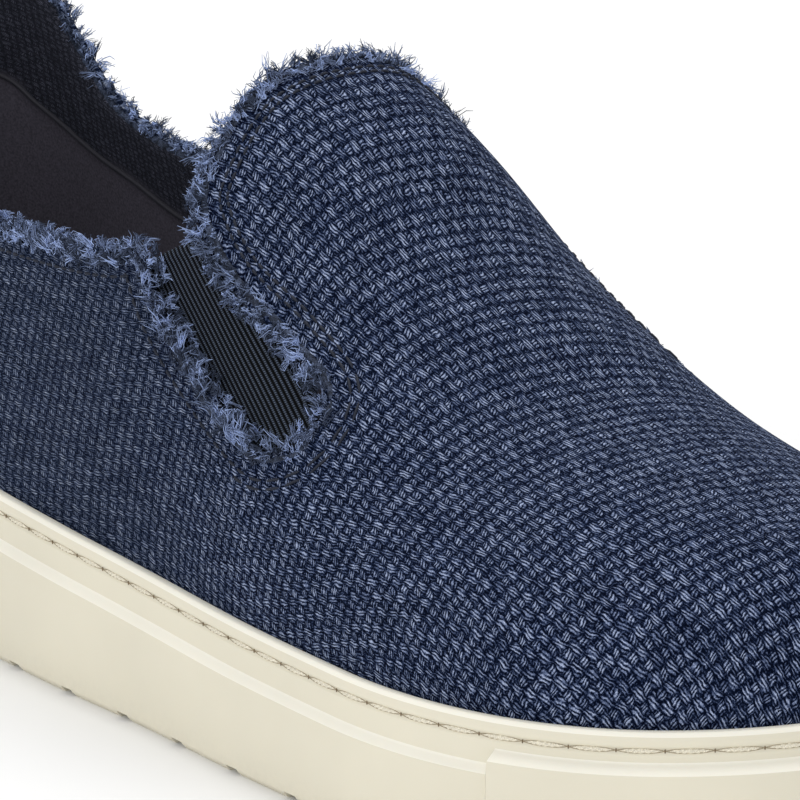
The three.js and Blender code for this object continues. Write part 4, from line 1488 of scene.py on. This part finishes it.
class SHOE_OT_frayed_edge(bpy.types.Operator):
    """Builds the frayed band of clumped fibres along the raw edge, and its rows of stitches"""

    bl_idname = "shoe.frayed_edge"
    bl_label = "Frayed edge"

    def execute(self, context):
        self.band()
        self.fibres()
        self.edge_stitches()
        return {"FINISHED"}

    def band(self):
        """Lumpy rolled band under the fibres."""
        section = (
            (-3.3, -0.5),
            (-3.0, -0.2),
            (-2.7, 0.0),
            (-2.4, 0.1),
            (-2.1, 0.0),
            (-1.7, -0.3),
            (-1.6, -0.8),
            (-1.7, -1.3),
            (-2.0, -1.8),
            (-2.5, -2.0),
            (-3.0, -1.8),
            (-3.2, -1.2),
        )
        points, normals, _, opening, _ = raw_edge()
        rings = []
        for depth, rise in section:
            row = points + opening * depth + normals * rise
            lumps = np.array([self.lump(Vector(place)) for place in row])
            rings.append(row + (normals * 0.8 + opening * 0.35) * lumps[:, None] * LUMP_HEIGHT)
        rings.append(rings[0])
        finish_piece(loft(rings, True), "fray_band", [fray_band_finish()])

    def lump(self, place):
        """Coarse and fine lumps of the roll at a place."""
        return noise.noise(place * 0.75) + 0.6 * noise.noise(place * 1.9)

    def fibres(self):
        rng = random.Random(FIBRE_SEED)
        total = raw_edge()[4]
        tones = (("fibre_deep", 0.4), ("fibre_mid", 1.4), ("fibre_pale", 3.0))
        finishes = [fibre_finish(name, factor) for name, factor in tones]
        mean = sizes().fibre_length / METRES
        tuft_count = int(total / TUFT_PITCH)
        groups = [[] for _ in range(FIBRE_PIECES)]
        for k in range(tuft_count):
            for depth, rise in TUFT_ROWS:
                if rng.random() > TUFT_SHARE:
                    continue
                distance = (k + rng.random()) * total / tuft_count
                groups[k * FIBRE_PIECES // tuft_count] += self.tuft(rng, distance, depth, rise, mean)
        for index, strands in enumerate(groups):
            threads(f"fray_fibres_{index + 1}", strands, finishes, 0, caps=False)

    def tuft(self, rng, distance, depth, rise, mean):
        """Curled fibres of one worn yarn end, which lie together."""
        point, normal, travel, opening = edge_frame(distance)
        hidden = point.y > INNER_FROM and point.x > TAB_FRONT
        lift = 0.1 if hidden else 1.0
        depth += rng.uniform(-0.6, 0.6)
        lean = opening * rng.uniform(0.0, 1.0) + normal * rng.uniform(0.1, 0.8) * lift
        lean += travel * rng.uniform(-1.1, 1.1)
        if rise < 0:
            lean = opening + travel * rng.uniform(-1.0, 1.0) - normal * rng.uniform(0.0, 0.5)
        fan = rng.choice((0.14, 0.25, 0.42))
        reach = mean * rng.uniform(0.45, 0.9)
        quiet = point.y > INNER_FROM or (point.x > TAB_BACK and point.y > OUTER_FROM)
        limit = rng.uniform(-0.9, 0.25) if quiet else rng.uniform(-0.3, 1.1)
        if hidden:
            limit -= 0.5
        if point.y < -INNER_FROM and GORE_TOP_BACK[0] * LAST_LENGTH < point.x and not quiet:
            depth += SLOT_TUFT_SHIFT
            limit += SLOT_TUFT_SHIFT
        tone = rng.choices((0, 1, 2), (4, 5, 3))[0]
        root = point + opening * depth + normal * (rise * lift - 0.01 * depth * depth)
        bend = Vector([rng.gauss(0, 0.6) for _ in range(3)])
        strands = []
        for _ in range(rng.choice((8, 9, 10))):
            aside = travel * rng.gauss(0, 0.34) + opening * rng.gauss(0, 0.22)
            way = (lean + Vector([rng.gauss(0, fan) for _ in range(3)])).normalized()
            curl = bend + Vector([rng.gauss(0, 0.25) for _ in range(3)])
            wave = Vector([rng.gauss(0, 0.16) for _ in range(3)])
            length = reach * rng.uniform(0.7, 1.1)
            places = []
            for t in FIBRE_STEPS:
                place = root + aside * (1 - 0.45 * t) + way * length * t
                place += curl * length * t * t + wave * math.sin(2 * math.pi * t) * length
                past = (place - point).dot(opening) - limit
                if past > 0:
                    place -= opening * past * 0.8
                high = (place - point).dot(normal) - 0.15
                if hidden and high > 0:
                    place -= normal * high
                places.append(place)
            radius = rng.uniform(0.06, 0.1)
            shift = rng.choices((-1, 0, 1), (1, 4, 1))[0]
            radii = [radius * taper for taper in FIBRE_TAPER]
            strands.append((places, radii, min(max(tone + shift, 0), 2)))
        return strands

    def edge_stitches(self):
        canvas = bpy.data.objects["canvas_upper"].data
        bm = bmesh.new()
        bm.from_mesh(canvas)
        tree = BVHTree.FromBMesh(bm)
        bm.free()
        total = raw_edge()[4]
        count = int(total / EDGE_STITCH_PITCH)
        strands = []
        for inset, first, last in EDGE_STITCH_ROWS:
            for k in range(count):
                middle = k * total / count
                if not first <= middle / total < last:
                    continue
                points = []
                for t in (-0.5, -0.2, 0.2, 0.5):
                    point, _, _, opening = edge_frame(middle + t * EDGE_STITCH_LENGTH)
                    place, facing, _, _ = tree.find_nearest(in_frame(point - opening * inset))
                    lift = 0.12 if abs(t) < 0.3 else -0.15
                    points.append(from_frame(place) + facing * lift)
                strands.append((points, [0.14, 0.24, 0.24, 0.14], 0))
        threads("edge_stitches", strands, [thread_finish("navy_thread", (0.012, 0.016, 0.03))], 1)


class SHOE_OT_stage(bpy.types.Operator):
    """Sets the pale floor, the soft light and the camera"""

    bl_idname = "shoe.stage"
    bl_label = "Stage"

    def execute(self, context):
        scene = context.scene
        self.floor()
        self.camera(scene)
        self.lights(scene)
        return {"FINISHED"}

    def floor(self):
        bm = bmesh.new()
        bmesh.ops.create_grid(bm, x_segments=1, y_segments=1, size=FLOOR_REACH)
        mesh = bpy.data.meshes.new("floor")
        bm.to_mesh(mesh)
        bm.free()
        finish = Finish("pale_floor", roughness=0.9, specular=0.1)
        tone = finish.noise(finish.object_mm(), 0.002, 2.0)
        finish.colour(finish.ramp(tone, ((0.3, (0.89, 0.89, 0.89)), (0.7, (0.9, 0.9, 0.9)))))
        mesh.materials.append(finish.material)
        floor = bpy.data.objects.new("floor", mesh)
        bpy.context.scene.collection.objects.link(floor)

    def camera(self, scene):
        data = bpy.data.cameras.new("camera")
        data.sensor_width = 36.0
        data.lens = CAMERA_LENS
        data.clip_end = 20.0
        camera = bpy.data.objects.new("camera", data)
        camera.location = CAMERA_PLACE
        camera.rotation_euler = (CAMERA_TARGET - camera.location).to_track_quat("-Z", "Y").to_euler()
        scene.collection.objects.link(camera)
        scene.camera = camera

    def lights(self, scene):
        world = bpy.data.worlds.new("studio")
        world.use_nodes = True
        background = world.node_tree.nodes["Background"]
        background.inputs["Color"].default_value = (1, 1, 1, 1)
        background.inputs["Strength"].default_value = STUDIO_LIGHT
        scene.world = world
        scene.view_settings.view_transform = "Standard"
        for name, place, spread, power in LIGHTS:
            data = bpy.data.lights.new(name, "SUN")
            data.angle = math.radians(spread)
            data.energy = power
            light = bpy.data.objects.new(name, data)
            light.location = place
            light.rotation_euler = (LIGHT_TARGET - light.location).to_track_quat("-Z", "Y").to_euler()
            scene.collection.objects.link(light)


PIECES = (
    SHOE_OT_stage,
    SHOE_OT_cup_sole,
    SHOE_OT_sole_stitches,
    SHOE_OT_insole,
    SHOE_OT_canvas_upper,
    SHOE_OT_lining,
    SHOE_OT_elastic_gores,
    SHOE_OT_frayed_edge,
)


class SHOE_PT_pieces(bpy.types.Panel):
    """Lists the pieces of the shoe and its sizes"""

    bl_idname = "SHOE_PT_pieces"
    bl_label = "Slip-on shoe"
    bl_space_type = "VIEW_3D"
    bl_region_type = "UI"
    bl_category = "Shoe"

    def draw(self, context):
        for name in ShoeSizes.__annotations__:
            self.layout.prop(context.scene.shoe_sizes, name)
        for piece in PIECES:
            self.layout.operator(piece.bl_idname)


CLASSES = (ShoeSizes, *PIECES, SHOE_PT_pieces)


def register():
    for cls in CLASSES:
        bpy.utils.register_class(cls)
    bpy.types.Scene.shoe_sizes = bpy.props.PointerProperty(type=ShoeSizes)


def unregister():
    del bpy.types.Scene.shoe_sizes
    for cls in reversed(CLASSES):
        bpy.utils.unregister_class(cls)


def main():
    register()
    for piece in PIECES:
        category, name = piece.bl_idname.split(".")
        getattr(getattr(bpy.ops, category), name)()
    bpy.context.view_layer.update()


if __name__ == "__main__":
    main()
